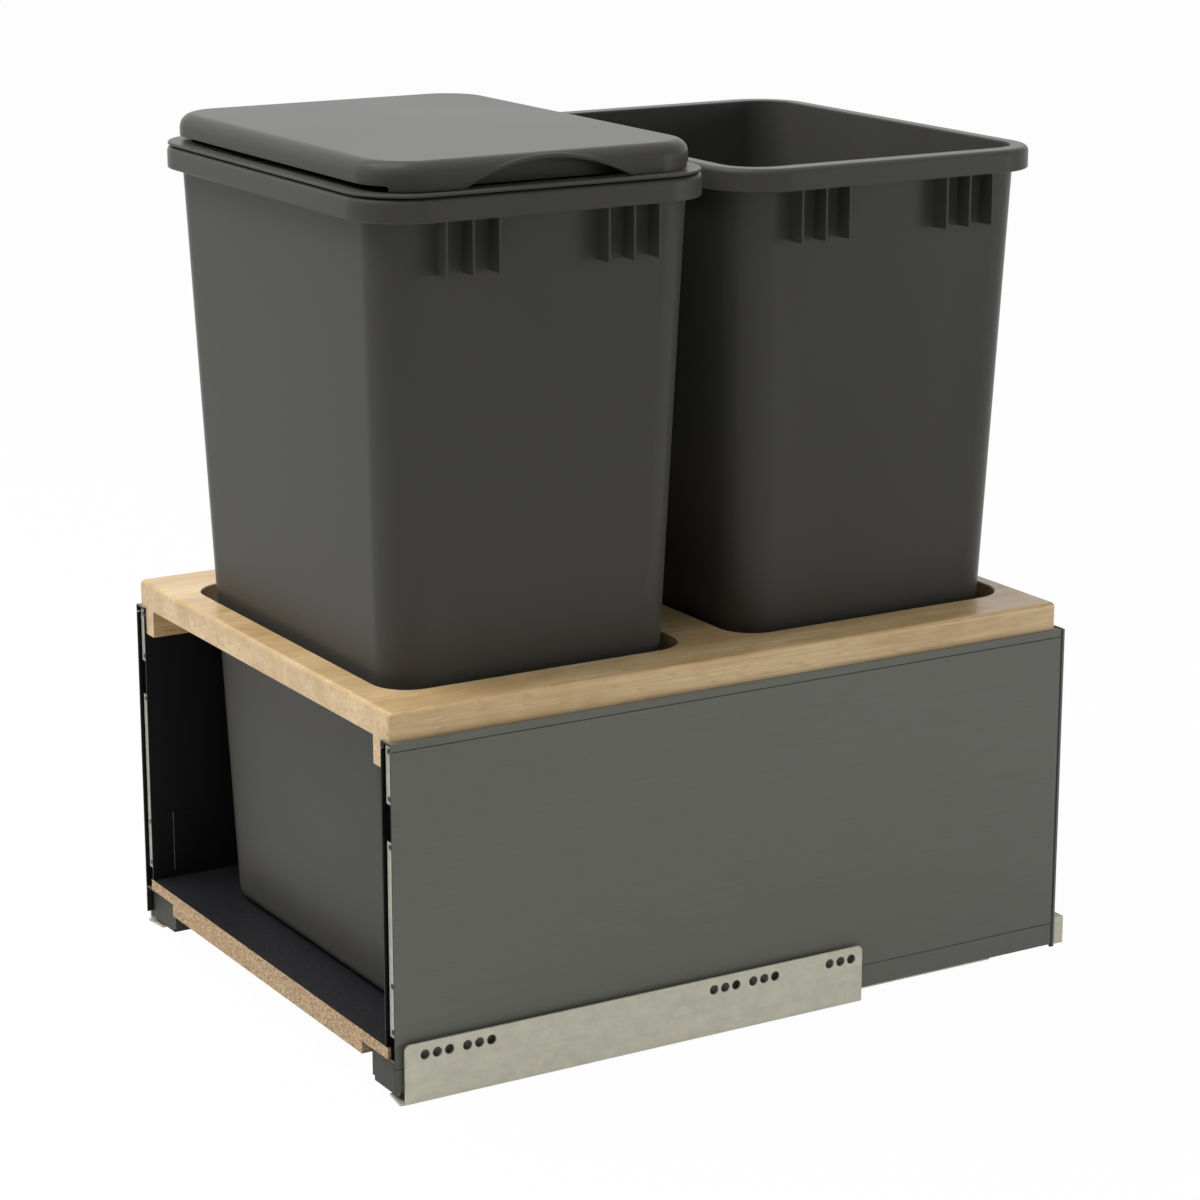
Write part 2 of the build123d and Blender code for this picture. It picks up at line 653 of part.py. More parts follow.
# ---------------------------------------------------------------- wooden frame and cleats
body_share = (frame_top_z - BASE_TOP_Z) / BIN_H
cutout_w = bin_foot_w + 2 * BIN_DRAFT_X * body_share + 2 * CUTOUT_PLAY_X
cutout_d = bin_foot_d + 2 * BIN_DRAFT_Y * body_share + 2 * CUTOUT_PLAY_Y
frame_w = 2 * (side_out_x - FRAME_INSET)
frame_l = SIDE_L - FRAME_SETBACK - FRAME_REAR_SETBACK
cleat_screws_y = spread(CLEAT_SCREWS, front_y + CLEAT_SCREW_INSET, side_rear_y - CLEAT_SCREW_INSET)
cleat_screw_x = cleat_x + CLEAT_W / 2
cleat_bottom_z = SIDE_TOP_Z - CLEAT_H
with BuildPart() as top_frame:
    with BuildSketch(Plane.XY.offset(SIDE_TOP_Z)):
        with Locations((0, frame_front_y + frame_l / 2)):
            RectangleRounded(frame_w, frame_l, FRAME_EDGE_R)
    extrude(amount=FRAME_T)
    fillet(top_frame.edges().group_by(Axis.Z)[-1], FRAME_EDGE_R)
    with BuildSketch(Plane.XY.offset(SIDE_TOP_Z)):
        for bin_y in bin_centres_y.values():
            with Locations((0, bin_y)):
                RectangleRounded(cutout_w, cutout_d, CUTOUT_R)
    extrude(amount=FRAME_T, mode=Mode.SUBTRACT)
    cutout_edges = [
        edge
        for edge in top_frame.edges().group_by(Axis.Z)[-1]
        if any(
            abs(edge.center().X) < cutout_w / 2 + 1 and abs(edge.center().Y - bin_y) < cutout_d / 2 + 1
            for bin_y in bin_centres_y.values()
        )
    ]
    fillet(cutout_edges, CUTOUT_EDGE_R)
    for hand in (-1, 1):
        for screw_y in cleat_screws_y:
            place = (hand * cleat_screw_x, screw_y, SIDE_TOP_Z)
            screw_hole(place, (0, 0, 1), base_screw_depth, head_sunk=False)
keep(top_frame.part, "top_frame")

with BuildPart() as cleat:
    box_between((cleat_x, frame_front_y, cleat_bottom_z), (side_in_x, back_front_y - SLIP, SIDE_TOP_Z))
    for screw_y in cleat_screws_y:
        screw_hole((cleat_screw_x, screw_y, cleat_bottom_z), (0, 0, 1), CLEAT_H)
    for screw_y in side_screws_y:
        screw_hole((cleat_x, screw_y, side_screw_z), (1, 0, 0), CLEAT_W)
keep_pair(cleat.part, "cleat")

with BuildPart() as cleat_screws:
    for screw_y in cleat_screws_y:
        screw((cleat_screw_x, screw_y, cleat_bottom_z), (0, 0, 1), CLEAT_H + SCREW_BITE)
keep_pair(cleat_screws.part, "cleat_screws")

with BuildPart() as side_screws:
    for screw_y in side_screws_y:
        screw((cleat_x, screw_y, side_screw_z), (1, 0, 0), CLEAT_W + SIDE_T / 2)
keep_pair(side_screws.part, "side_screws")

# ---------------------------------------------------------------- bins
rim_z = bin_top_z - RIM_H
for bin_name, bin_y in bin_centres_y.items():
    with BuildPart() as bin_shell:
        with BuildSketch(Plane.XY.offset(rim_z)):
            with Locations((0, bin_y)):
                RectangleRounded(RIM_W, rim_d, RIM_R)
        extrude(amount=RIM_H)
        fillet(bin_shell.edges().group_by(Axis.Z)[-1], RIM_EDGE_R)
        with BuildSketch(Plane.XY.offset(rim_z)):
            with Locations((0, bin_y)):
                RectangleRounded(RIM_W - 2 * BIN_WALL, rim_d - 2 * BIN_WALL, RIM_R - BIN_WALL)
        extrude(amount=RIM_H - BIN_WALL, mode=Mode.SUBTRACT)
        for hand in (-1, 1):
            for rib_y in RIB_Y:
                for side in (-1, 1):
                    rib_out = RIM_W / 2 - RIB_INSET
                    rib_in = bin_top_w / 2 - 2 * BIN_WALL
                    with Locations((hand * (rib_in + rib_out) / 2, bin_y + side * rib_y, rim_z - RIB_H)):
                        Box(
                            rib_out - rib_in,
                            RIB_T,
                            RIB_H + RIM_H - BIN_WALL,
                            align=(Align.CENTER, Align.CENTER, Align.MIN),
                        )
        with BuildPart(mode=Mode.PRIVATE) as body:
            with BuildSketch(Plane.XY.offset(BASE_TOP_Z)):
                with Locations((0, bin_y)):
                    RectangleRounded(bin_foot_w, bin_foot_d, BIN_FOOT_R)
            with BuildSketch(Plane.XY.offset(bin_top_z)):
                with Locations((0, bin_y)):
                    RectangleRounded(bin_top_w, bin_top_d, BIN_TOP_R)
            loft(ruled=True)
            fillet(body.edges().group_by(Axis.Z)[0], BIN_FOOT_EDGE_R)
        add(body.part)
        with BuildPart(mode=Mode.PRIVATE) as cavity:
            with BuildSketch(Plane.XY.offset(BASE_TOP_Z + BIN_WALL)):
                with Locations((0, bin_y)):
                    RectangleRounded(bin_foot_w - 2 * BIN_WALL, bin_foot_d - 2 * BIN_WALL, BIN_FOOT_R - BIN_WALL)
            with BuildSketch(Plane.XY.offset(bin_top_z)):
                with Locations((0, bin_y)):
                    RectangleRounded(bin_top_w - 2 * BIN_WALL, bin_top_d - 2 * BIN_WALL, BIN_TOP_R - BIN_WALL)
            loft(ruled=True)
            fillet(cavity.edges().group_by(Axis.Z)[0], BIN_FOOT_EDGE_R - BIN_WALL)
        add(cavity.part, mode=Mode.SUBTRACT)
        mouth_edges = [
            edge
            for edge in bin_shell.edges().group_by(Axis.Z)[-1]
            if abs(edge.center().X) < bin_top_w / 2 and abs(edge.center().Y - bin_y) < bin_top_d / 2
        ]
        fillet(mouth_edges, MOUTH_EDGE_R)
    keep(bin_shell.part, bin_name)

# ---------------------------------------------------------------- lid
lid_y = bin_front_y
cover_w = RIM_W - 2 * COVER_INSET_X
cover_d = rim_d - 2 * COVER_INSET_Y
ring_w = RIM_W - 2 * RING_INSET
ring_d = rim_d - 2 * RING_INSET
ring_lip_w = bin_top_w - 2 * (BIN_WALL + RING_LIP_PLAY + RING_LIP_T / 2)
ring_lip_d = bin_top_d - 2 * (BIN_WALL + RING_LIP_PLAY + RING_LIP_T / 2)
ring_lip_r = BIN_TOP_R - BIN_WALL
hinge_x = -cover_w / 2 + HINGE_IN
hinge_z = ring_top_z + HINGE_UP
with BuildPart() as lid_ring:
    with BuildSketch(Plane.XY.offset(bin_top_z)):
        with Locations((0, lid_y)):
            RectangleRounded(ring_w, ring_d, RIM_R - RING_INSET)
    extrude(amount=RING_T)
    fillet(lid_ring.edges().group_by(Axis.Z)[-1], RING_EDGE_R)
    with BuildSketch(Plane.XY.offset(bin_top_z - RING_LIP_H)):
        with Locations((0, lid_y)):
            RectangleRounded(ring_lip_w, ring_lip_d, ring_lip_r)
    extrude(amount=RING_LIP_H)
    with BuildSketch(Plane.XY.offset(bin_top_z - RING_LIP_H)):
        with Locations((0, lid_y)):
            RectangleRounded(ring_lip_w - 2 * RING_LIP_T, ring_lip_d - 2 * RING_LIP_T, ring_lip_r - RING_LIP_T)
    extrude(amount=RING_LIP_H + RING_T, mode=Mode.SUBTRACT)
    for side in (-1, 1):
        with BuildSketch(section(lid_y + side * HINGE_Y + EAR_W / 2)):
            with Locations((hinge_x, hinge_z)):
                Circle(EAR_R)
            with Locations((hinge_x, (ring_top_z + hinge_z) / 2)):
                Rectangle(2 * EAR_R, hinge_z - ring_top_z)
        extrude(amount=EAR_W)
        with BuildSketch(section(lid_y + side * HINGE_Y + EAR_W / 2)):
            with Locations((hinge_x, hinge_z)):
                Circle(HINGE_PIN_D / 2 + HINGE_PLAY)
        extrude(amount=EAR_W, mode=Mode.SUBTRACT)
keep(lid_ring.part, "lid_ring")

lug_span = EAR_W + 2 * LUG_GAP + 2 * LUG_T
with BuildPart() as hinge_pins:
    for side in (-1, 1):
        with BuildSketch(section(lid_y + side * HINGE_Y + lug_span / 2)):
            with Locations((hinge_x, hinge_z)):
                Circle(HINGE_PIN_D / 2)
        extrude(amount=lug_span)
keep(hinge_pins.part, "lid_hinge_pins")

skirt_z = ring_top_z + LAYER
cover_top_z = skirt_z + COVER_H
relief_x = cover_w / 2 - COVER_RELIEF_INSET
with BuildPart() as lid_cover:
    with BuildSketch(Plane.XY.offset(skirt_z)):
        with Locations((0, lid_y)):
            RectangleRounded(cover_w, cover_d, COVER_R)
    extrude(amount=COVER_H)
    fillet(lid_cover.edges().group_by(Axis.Z)[-1], COVER_EDGE_R)
    with BuildPart(mode=Mode.PRIVATE) as cover_inside:
        with BuildSketch(Plane.XY.offset(skirt_z)):
            with Locations((0, lid_y)):
                RectangleRounded(cover_w - 2 * COVER_WALL, cover_d - 2 * COVER_WALL, COVER_R - COVER_WALL)
        extrude(amount=COVER_H - COVER_WALL)
        fillet(cover_inside.edges().group_by(Axis.Z)[-1], COVER_EDGE_R - COVER_WALL)
    add(cover_inside.part, mode=Mode.SUBTRACT)
    # pocket behind the finger arch
    pocket_x = cover_w / 2 - POCKET_DEPTH
    box_between(
        (pocket_x - COVER_WALL, lid_y - ARCH_W / 2 - COVER_WALL, skirt_z),
        (pocket_x, lid_y + ARCH_W / 2 + COVER_WALL, cover_top_z - COVER_WALL),
    )
    for hand in (-1, 1):
        wall_y = lid_y + hand * (ARCH_W / 2 + COVER_WALL / 2)
        with Locations((pocket_x, wall_y, skirt_z)):
            Box(
                POCKET_DEPTH - COVER_WALL,
                COVER_WALL,
                COVER_H - COVER_EDGE_R,
                align=(Align.MIN, Align.CENTER, Align.MIN),
            )
    arch_r = (ARCH_W**2 / 4 + ARCH_H**2) / (2 * ARCH_H)
    with BuildSketch(Plane.YZ.offset(pocket_x)):
        with BuildLine():
            ThreePointArc(
                (lid_y - ARCH_W / 2, skirt_z), (lid_y, skirt_z + ARCH_H), (lid_y + ARCH_W / 2, skirt_z)
            )
            Line((lid_y + ARCH_W / 2, skirt_z), (lid_y - ARCH_W / 2, skirt_z))
        make_face()
    extrude(amount=POCKET_DEPTH, mode=Mode.SUBTRACT)
    # shorter skirt along the sides and at the hinge end
    for low_x, relief in ((-relief_x, COVER_RELIEF), (-cover_w / 2, COVER_HINGE_RELIEF)):
        box_between(
            (low_x, lid_y - cover_d / 2, skirt_z),
            (relief_x, lid_y + cover_d / 2, skirt_z + relief),
            mode=Mode.SUBTRACT,
        )
    for side in (-1, 1):
        # window in the skirt for the ear, and a lug to each side of it
        box_between(
            (-cover_w / 2, lid_y + side * HINGE_Y - EAR_W / 2 - LUG_GAP, skirt_z),
            (
                hinge_x,
                lid_y + side * HINGE_Y + EAR_W / 2 + LUG_GAP,
                hinge_z + EAR_R + LUG_GAP,
            ),
            mode=Mode.SUBTRACT,
        )
        for end in (-1, 1):
            lug_rear_y = lid_y + side * HINGE_Y + end * (lug_span - LUG_T) / 2 + LUG_T / 2
            with BuildSketch(section(lug_rear_y)):
                with Locations((hinge_x, hinge_z)):
                    Circle(LUG_R)
                with Locations((hinge_x, (hinge_z + cover_top_z - COVER_WALL) / 2)):
                    Rectangle(2 * LUG_R, cover_top_z - COVER_WALL - hinge_z)
            extrude(amount=LUG_T)
            with BuildSketch(section(lug_rear_y)):
                with Locations((hinge_x, hinge_z)):
                    Circle(HINGE_PIN_D / 2 + 2 * HINGE_PLAY)
            extrude(amount=LUG_T, mode=Mode.SUBTRACT)
keep(lid_cover.part, "lid_cover")
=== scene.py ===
"""Looks of the pull-out waste unit: moulded bins, maple frame, and painted, galvanised and black steel."""

from __future__ import annotations

import logging
import math
from collections.abc import Callable
from dataclasses import dataclass, field
from enum import Enum

import bmesh
import bpy
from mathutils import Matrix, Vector


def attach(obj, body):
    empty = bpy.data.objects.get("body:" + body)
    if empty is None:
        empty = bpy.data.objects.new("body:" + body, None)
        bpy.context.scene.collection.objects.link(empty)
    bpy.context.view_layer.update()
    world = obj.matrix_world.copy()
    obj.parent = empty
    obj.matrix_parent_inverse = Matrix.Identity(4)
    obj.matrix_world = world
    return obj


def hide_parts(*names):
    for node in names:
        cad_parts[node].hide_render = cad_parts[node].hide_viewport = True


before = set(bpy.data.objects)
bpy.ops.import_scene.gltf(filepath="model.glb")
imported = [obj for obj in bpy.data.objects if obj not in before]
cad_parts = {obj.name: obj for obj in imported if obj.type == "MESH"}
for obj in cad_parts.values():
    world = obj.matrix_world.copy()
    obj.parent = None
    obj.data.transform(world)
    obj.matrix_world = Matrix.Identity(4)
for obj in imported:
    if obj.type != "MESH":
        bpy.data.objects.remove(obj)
LOG = logging.getLogger("waste_unit")
MM = 0.001
FRONT_BIN_Y, REAR_BIN_Y = -126.4, 122.1  # middles of the bins, in millimetres
Piece = bpy.types.Object
Node = bpy.types.Node
Socket = bpy.types.NodeSocket
Tree = bpy.types.NodeTree
Paint = bpy.types.Material
Triple = tuple[float, float, float]
Rgba = tuple[float, float, float, float]
Feed = Socket | float | Triple | Rgba
EdgeTest = Callable[[Vector, Vector], bool]


# ------------------------------------------------------------------ bench tools
class Side(Enum):
    """Left or right of the unit, as the sign of its X."""

    LEFT = -1
    RIGHT = 1


def wake(piece: Piece) -> None:
    """Make one object the only selected and the active one.

    Args:
        piece: the object to work on.
    """
    if bpy.context.object and bpy.context.object.mode != "OBJECT":
        bpy.ops.object.mode_set(mode="OBJECT")
    bpy.ops.object.select_all(action="DESELECT")
    piece.select_set(True)
    bpy.context.view_layer.objects.active = piece


def finish_modifier(piece: Piece, name: str) -> None:
    """Apply the named modifier of a piece."""
    wake(piece)
    bpy.ops.object.modifier_apply(modifier=name)


def smooth(piece: Piece, angle: float = 35.0) -> None:
    """Shade a piece smooth below an angle, with its large faces kept flat.

    Args:
        piece: the finished piece.
        angle: sharpest crease in degrees that still looks smooth.
    """
    wake(piece)
    bpy.ops.object.shade_smooth_by_angle(angle=math.radians(angle))
    weights = piece.modifiers.new("even_faces", "WEIGHTED_NORMAL")
    weights.keep_sharp = True
    weights.weight = 100
    finish_modifier(piece, weights.name)


def settle(name: str) -> Piece:
    """Name the active object and take its place over into its mesh.

    Args:
        name: the object's name.

    Returns:
        The object, at the origin.
    """
    piece = bpy.context.object
    piece.name = name
    bpy.ops.object.transform_apply(location=True, rotation=True, scale=True)
    return piece


def block(name: str, low: Vector, high: Vector, edge: float = 0.0, steps: int = 2) -> Piece:
    """Rectangular block with eased edges.

    Args:
        name: the object's name.
        low: lowest corner in metres.
        high: highest corner in metres.
        edge: rounding of its edges in metres.
        steps: segments of the rounding.

    Returns:
        The block.
    """
    bpy.ops.object.select_all(action="DESELECT")
    bpy.ops.mesh.primitive_cube_add(size=1.0, location=(low + high) / 2, scale=high - low)
    piece = settle(name)
    if edge > 0:
        bpy.ops.object.mode_set(mode="EDIT")
        bpy.ops.mesh.select_all(action="SELECT")
        bpy.ops.mesh.bevel(offset=edge, segments=steps, affect="EDGES")
        bpy.ops.object.mode_set(mode="OBJECT")
    return piece


def rod(name: str, middle: Vector, radius: float, length: float, axis: str, steps: int) -> Piece:
    """Round rod along X or Y, centred on a point.

    Args:
        name: the object's name.
        middle: its centre in metres.
        radius: its radius in metres.
        length: its length in metres.
        axis: "X" or "Y".
        steps: faces round it.

    Returns:
        The rod.
    """
    turn = (0.0, math.pi / 2, 0.0) if axis == "X" else (math.pi / 2, 0.0, 0.0)
    bpy.ops.object.select_all(action="DESELECT")
    bpy.ops.mesh.primitive_cylinder_add(
        vertices=steps, radius=radius, depth=length, location=middle, rotation=turn
    )
    return settle(name)


def cut(piece: Piece, tools: list[Piece]) -> None:
    """Take the tools' shapes out of a piece and throw the tools away.

    Args:
        piece: what is cut.
        tools: closed shapes to take out.
    """
    for tool in tools:
        saw = piece.modifiers.new("saw", "BOOLEAN")
        saw.operation = "DIFFERENCE"
        saw.solver = "EXACT"
        saw.object = tool
        finish_modifier(piece, saw.name)
        bpy.data.objects.remove(tool)


def join(piece: Piece, others: list[Piece]) -> None:
    """Join other objects' meshes to a piece.

    Args:
        piece: what they become part of.
        others: the objects that are joined to it.
    """
    wake(piece)
    for other in others:
        other.select_set(True)
    bpy.ops.object.join()


def round_edges(piece: Piece, wanted: EdgeTest, radius: float, steps: int) -> None:
    """Round the edges of a piece that pass a test.

    Args:
        piece: the piece.
        wanted: test of an edge's two end points, given in millimetres.
        radius: the rounding in millimetres.
        steps: its segments.
    """
    wake(piece)
    bpy.ops.object.mode_set(mode="EDIT")
    bpy.ops.mesh.select_mode(type="EDGE")
    bpy.ops.mesh.select_all(action="DESELECT")
    mesh = bmesh.from_edit_mesh(piece.data)
    for edge in mesh.edges:
        first, second = (vert.co / MM for vert in edge.verts)
        edge.select_set(wanted(first, second))
    bmesh.update_edit_mesh(piece.data)
    bpy.ops.mesh.bevel(offset=radius * MM, segments=steps, affect="EDGES")
    bpy.ops.object.mode_set(mode="OBJECT")


def copy_to(piece: Piece, name: str, shift: Vector) -> Piece:
    """Copy a piece, with a mesh of its own, to another place.

    Args:
        piece: what is copied.
        name: the copy's name.
        shift: how far the copy lies from it, in metres.

    Returns:
        The copy.
    """
    wake(piece)
    bpy.ops.object.duplicate(linked=False)
    bpy.context.object.location = shift
    return settle(name)


def quarter_turn(steps: int) -> list[float]:
    """Angles that divide a quarter turn into steps, with both ends."""
    return [math.pi / 2 * step / steps for step in range(steps + 1)]


@dataclass(frozen=True)
class Outline:
    """Rounded rectangle at one height, in millimetres."""

    width: float
    depth: float
    corner: float
    height: float
    sharpest: float = 0.5

    def inset(self, amount: float, height: float) -> Outline:
        """The same outline moved inwards by amount, at another height."""
        corner = max(self.corner - amount, self.sharpest)
        return Outline(self.width - 2 * amount, self.depth - 2 * amount, corner, height)


def rounded_top(base: Outline, radius: float, steps: int) -> list[Outline]:
    """Outlines of a convex rounding above an outline that stands on its lower end.

    Args:
        base: the outline where the rounding starts.
        radius: its radius in millimetres.
        steps: how many outlines are drawn after the first.

    Returns:
        The outlines from the wall to the flat top.
    """
    turns = quarter_turn(steps)[1:]
    return [base.inset(radius * (1 - math.cos(t)), base.height + radius * math.sin(t)) for t in turns]


class RingLoft:
    """Skin drawn over a stack of rounded rectangles that share a centre.

    Two neighbouring outlines at one height are drawn a hair apart, because a skin between level loops twists.
    """

    HAIR = 0.02

    def __init__(self, name: str, middle_y: float, corner_steps: int = 12) -> None:
        """Start an empty piece.

        Args:
            name: the object's name.
            middle_y: Y of the outlines' centre in millimetres.
            corner_steps: segments of each rounded corner.
        """
        self.middle_y = middle_y
        self.corner_steps = corner_steps
        self.rings = 0
        bpy.ops.object.select_all(action="DESELECT")
        bpy.ops.mesh.primitive_plane_add(size=1.0)
        self.piece = settle(name)
        bpy.ops.object.mode_set(mode="EDIT")
        bpy.ops.mesh.select_all(action="SELECT")
        bpy.ops.mesh.delete(type="VERT")

    def ring(self, outline: Outline) -> int:
        """Draw one outline.

        Args:
            outline: its size and height.

        Returns:
            The ring's number.
        """
        centre = Vector((0.0, self.middle_y, outline.height)) * MM
        size = (outline.width * MM, outline.depth * MM, 1.0)
        bpy.ops.mesh.select_mode(type="VERT")
        bpy.ops.mesh.select_all(action="DESELECT")
        bpy.ops.mesh.primitive_plane_add(size=1.0, location=centre)
        bpy.ops.transform.resize(value=size, center_override=centre, orient_type="GLOBAL")
        bpy.ops.mesh.bevel(offset=outline.corner * MM, segments=self.corner_steps, affect="VERTICES")
        self.rings += 1
        mesh = bmesh.from_edit_mesh(self.piece.data)
        tag = mesh.verts.layers.int.get("ring") or mesh.verts.layers.int.new("ring")
        for vert in mesh.verts:
            if vert.select:
                vert[tag] = self.rings
        bmesh.update_edit_mesh(self.piece.data)
        bpy.ops.mesh.delete(type="ONLY_FACE")
        return self.rings

    def _select(self, numbers: tuple[int, ...]) -> None:
        """Select the edges of some rings.

        Args:
            numbers: the rings' numbers.
        """
        bpy.ops.mesh.select_mode(type="EDGE")
        bpy.ops.mesh.select_all(action="DESELECT")
        mesh = bmesh.from_edit_mesh(self.piece.data)
        tag = mesh.verts.layers.int["ring"]
        for edge in mesh.edges:
            first, second = (vert[tag] for vert in edge.verts)
            edge.select_set(first == second and first in numbers)
        bmesh.update_edit_mesh(self.piece.data)

    def stack(self, outlines: list[Outline], capped: bool) -> None:
        """Draw outlines and skin each to the one before it.

        Args:
            outlines: the outlines in order along the skin.
            capped: close both ends with a face, or else join the last to the first.
        """
        numbers = []
        height = outlines[0].height + self.HAIR
        for outline in outlines:
            if abs(outline.height - height) < self.HAIR / 2:
                outline = outline.inset(0.0, outline.height - self.HAIR)
            height = outline.height
            numbers.append(self.ring(outline))
        pairs = list(zip(numbers[:-1], numbers[1:]))
        if not capped:
            pairs.append((numbers[-1], numbers[0]))
        for pair in pairs:
            self._select(pair)
            bpy.ops.mesh.bridge_edge_loops()
        if capped:
            for end in (numbers[0], numbers[-1]):
                self._select((end,))
                bpy.ops.mesh.edge_face_add()

    def close(self) -> Piece:
        """Turn the faces outwards and leave edit mode.

        Returns:
            The closed piece.
        """
        bpy.ops.mesh.select_all(action="SELECT")
        bpy.ops.mesh.normals_make_consistent(inside=False)
        bpy.ops.object.mode_set(mode="OBJECT")
        self.piece.data.attributes.remove(self.piece.data.attributes["ring"])
        return self.piece


# ------------------------------------------------------------------ shared shader effects
class Wiring:
    """Short ways to add nodes to a node tree and to join them."""

    def __init__(self, tree: Tree) -> None:
        """Take up the tree."""
        self.tree = tree

    def feed(self, node: Node, inputs: dict[str | int, Feed]) -> None:
        """Join or set a node's inputs.

        Args:
            node: the node.
            inputs: the output that each input is joined to, or its value.
        """
        for name, value in inputs.items():
            if isinstance(value, Socket):
                self.tree.links.new(value, node.inputs[name])
            else:
                node.inputs[name].default_value = value

    def node(self, kind: str, inputs: dict[str | int, Feed] | None = None, **settings: object) -> Node:
        """Add a node.

        Args:
            kind: its type.
            inputs: what its inputs are joined to, or their values.
            settings: its properties.

        Returns:
            The node.
        """
        made = self.tree.nodes.new(kind)
        for name, value in settings.items():
            setattr(made, name, value)
        self.feed(made, inputs or {})
        return made

    def maths(self, how: str, *values: Feed) -> Socket:
        """One number worked out from others."""
        return self.node("ShaderNodeMath", dict(enumerate(values)), operation=how).outputs[0]

    def blend(self, factor: Feed, first: Feed, second: Feed, how: str = "MIX") -> Socket:
        """Mix two colours or numbers.

        Args:
            factor: how much of the second.
            first: what is under it.
            second: what is laid over it.
            how: the blend type.

        Returns:
            The mixed colour.
        """
        inputs = {"Factor": factor, 6: first, 7: second}
        return self.node("ShaderNodeMix", inputs, data_type="RGBA", blend_type=how).outputs[2]

    def parts(self, kind: str, output: str) -> dict[str, Socket]:
        """X, Y and Z of a vector that a new node gives.

        Args:
            kind: the node's type.
            output: the name of its output.

        Returns:
            The three numbers by name.
        """
        vector = self.node(kind).outputs[output]
        return dict(self.node("ShaderNodeSeparateXYZ", {"Vector": vector}).outputs.items())

    def cover(self, socket: str, plain: Triple, mask: Socket) -> None:
        """Put a plain colour over what feeds one of the surface shader's inputs.

        Args:
            socket: the input's name.
            plain: the colour, or a number three times.
            mask: 1 where the colour lies.
        """
        shader = self.tree.nodes["Principled BSDF"]
        source = shader.inputs[socket].links[0].from_socket
        self.feed(shader, {socket: self.blend(mask, source, (*plain, 1.0))})

    def seen(self) -> Socket:
        """Tell the rays that show the background from those that light the object.

        Returns:
            1 for rays from the camera, reflected or refracted, and 0 for all others.
        """
        rays = self.node("ShaderNodeLightPath").outputs
        straight = self.maths("MAXIMUM", rays["Is Camera Ray"], rays["Is Glossy Ray"])
        return self.maths("MAXIMUM", straight, rays["Is Transmission Ray"])

    def show(self, share: Socket, lit: Node, white: Node, output: str) -> None:
        """Join two mixed shaders to the tree's output.

        Args:
            share: how much of the white one.
            lit: the shader that takes part in the light.
            white: the shader of the background.
            output: name of the tree's output node.
        """
        mix = self.node("ShaderNodeMixShader", {0: share, 1: lit.outputs[0], 2: white.outputs[0]})
        self.feed(self.tree.nodes[output], {"Surface": mix.outputs[0]})


class Effect(Wiring):
    """Shader node group of one surface: place and two tones in, colour, gloss and height out."""

    SOCKETS = {
        "INPUT": {"Vector": "NodeSocketVector", "Dark": "NodeSocketColor", "Light": "NodeSocketColor"},
        "OUTPUT": {"Color": "NodeSocketColor", "Gloss": "NodeSocketFloat", "Height": "NodeSocketFloat"},
    }

    def __init__(self, name: str) -> None:
        """Make the empty group.

        Args:
            name: the group's name.
        """
        super().__init__(bpy.data.node_groups.new(name, "ShaderNodeTree"))
        for way, sockets in self.SOCKETS.items():
            for socket, kind in sockets.items():
                self.tree.interface.new_socket(name=socket, in_out=way, socket_type=kind)
        self.given = self.node("NodeGroupInput").outputs
        self.result = self.node("NodeGroupOutput")

    def texture(self, kind: str, scale: Triple, size: float) -> Node:
        """Texture on the group's Vector input.

        Args:
            kind: the texture node's type.
            scale: stretch along X, Y and Z.
            size: the texture's own scale, per metre.

        Returns:
            The texture node.
        """
        stretch = self.node("ShaderNodeMapping", {"Vector": self.given["Vector"], "Scale": scale})
        return self.node(kind, {"Vector": stretch.outputs["Vector"], "Scale": size})

    def noise(self, scale: Triple, size: float, detail: float) -> Socket:
        """Noise on the group's Vector input.

        Args:
            scale: stretch along X, Y and Z.
            size: the noise's own scale, per metre.
            detail: its octaves.

        Returns:
            The noise's value.
        """
        grain = self.texture("ShaderNodeTexNoise", scale, size)
        self.feed(grain, {"Detail": detail})
        return grain.outputs["Fac"]

    def remap(
        self, source: Socket, low: float = 0.3, high: float = 0.7, out_low: float = 0.0, out_high: float = 1.0
    ) -> Socket:
        """Stretch a value's range, which runs from about 0.3 to 0.7 in most noises.

        Args:
            source: the value.
            low: its low end.
            high: its high end.
            out_low: what the low end becomes.
            out_high: what the high end becomes.

        Returns:
            The new value.
        """
        ends = {"From Min": low, "From Max": high, "To Min": out_low, "To Max": out_high}
        return self.node("ShaderNodeMapRange", {"Value": source, **ends}).outputs["Result"]

    def tone(self, mask: Socket) -> Socket:
        """Mix the dark tone with the light one, which lies where the mask is 1."""
        return self.blend(mask, self.given["Dark"], self.given["Light"])

    def put_out(self, colour: Socket, gloss: Socket, height: Socket) -> Tree:
        """Join the group's three outputs.

        Args:
            colour: the surface's colour.
            gloss: 0 to 1 between the finish's two roughnesses.
            height: relief, as a share of the finish's depth.

        Returns:
            The finished group.
        """
        self.feed(self.result, {"Color": colour, "Gloss": gloss, "Height": height})
        return self.tree


def moulded_skin() -> Tree:
    """Faint cloudiness and the fine spark-eroded texture of a moulded skin.

    Returns:
        The group.
    """
    skin = Effect("moulded_skin")
    cloud = skin.remap(skin.noise((1, 1, 0.4), size=7.0, detail=3.0))
    fine = skin.noise((1, 1, 1), size=2600.0, detail=2.0)
    return skin.put_out(skin.tone(cloud), cloud, fine)


def rolled_sheet() -> Tree:
    """Very fine horizontal lines of painted rolled sheet.

    Returns:
        The group.
    """
    sheet = Effect("rolled_sheet")
    lines = sheet.noise((1, 0.02, 1), size=1500.0, detail=3.0)
    patches = sheet.noise((1, 0.3, 1), size=9.0, detail=3.0)
    return sheet.put_out(sheet.tone(sheet.remap(lines)), sheet.remap(patches), lines)


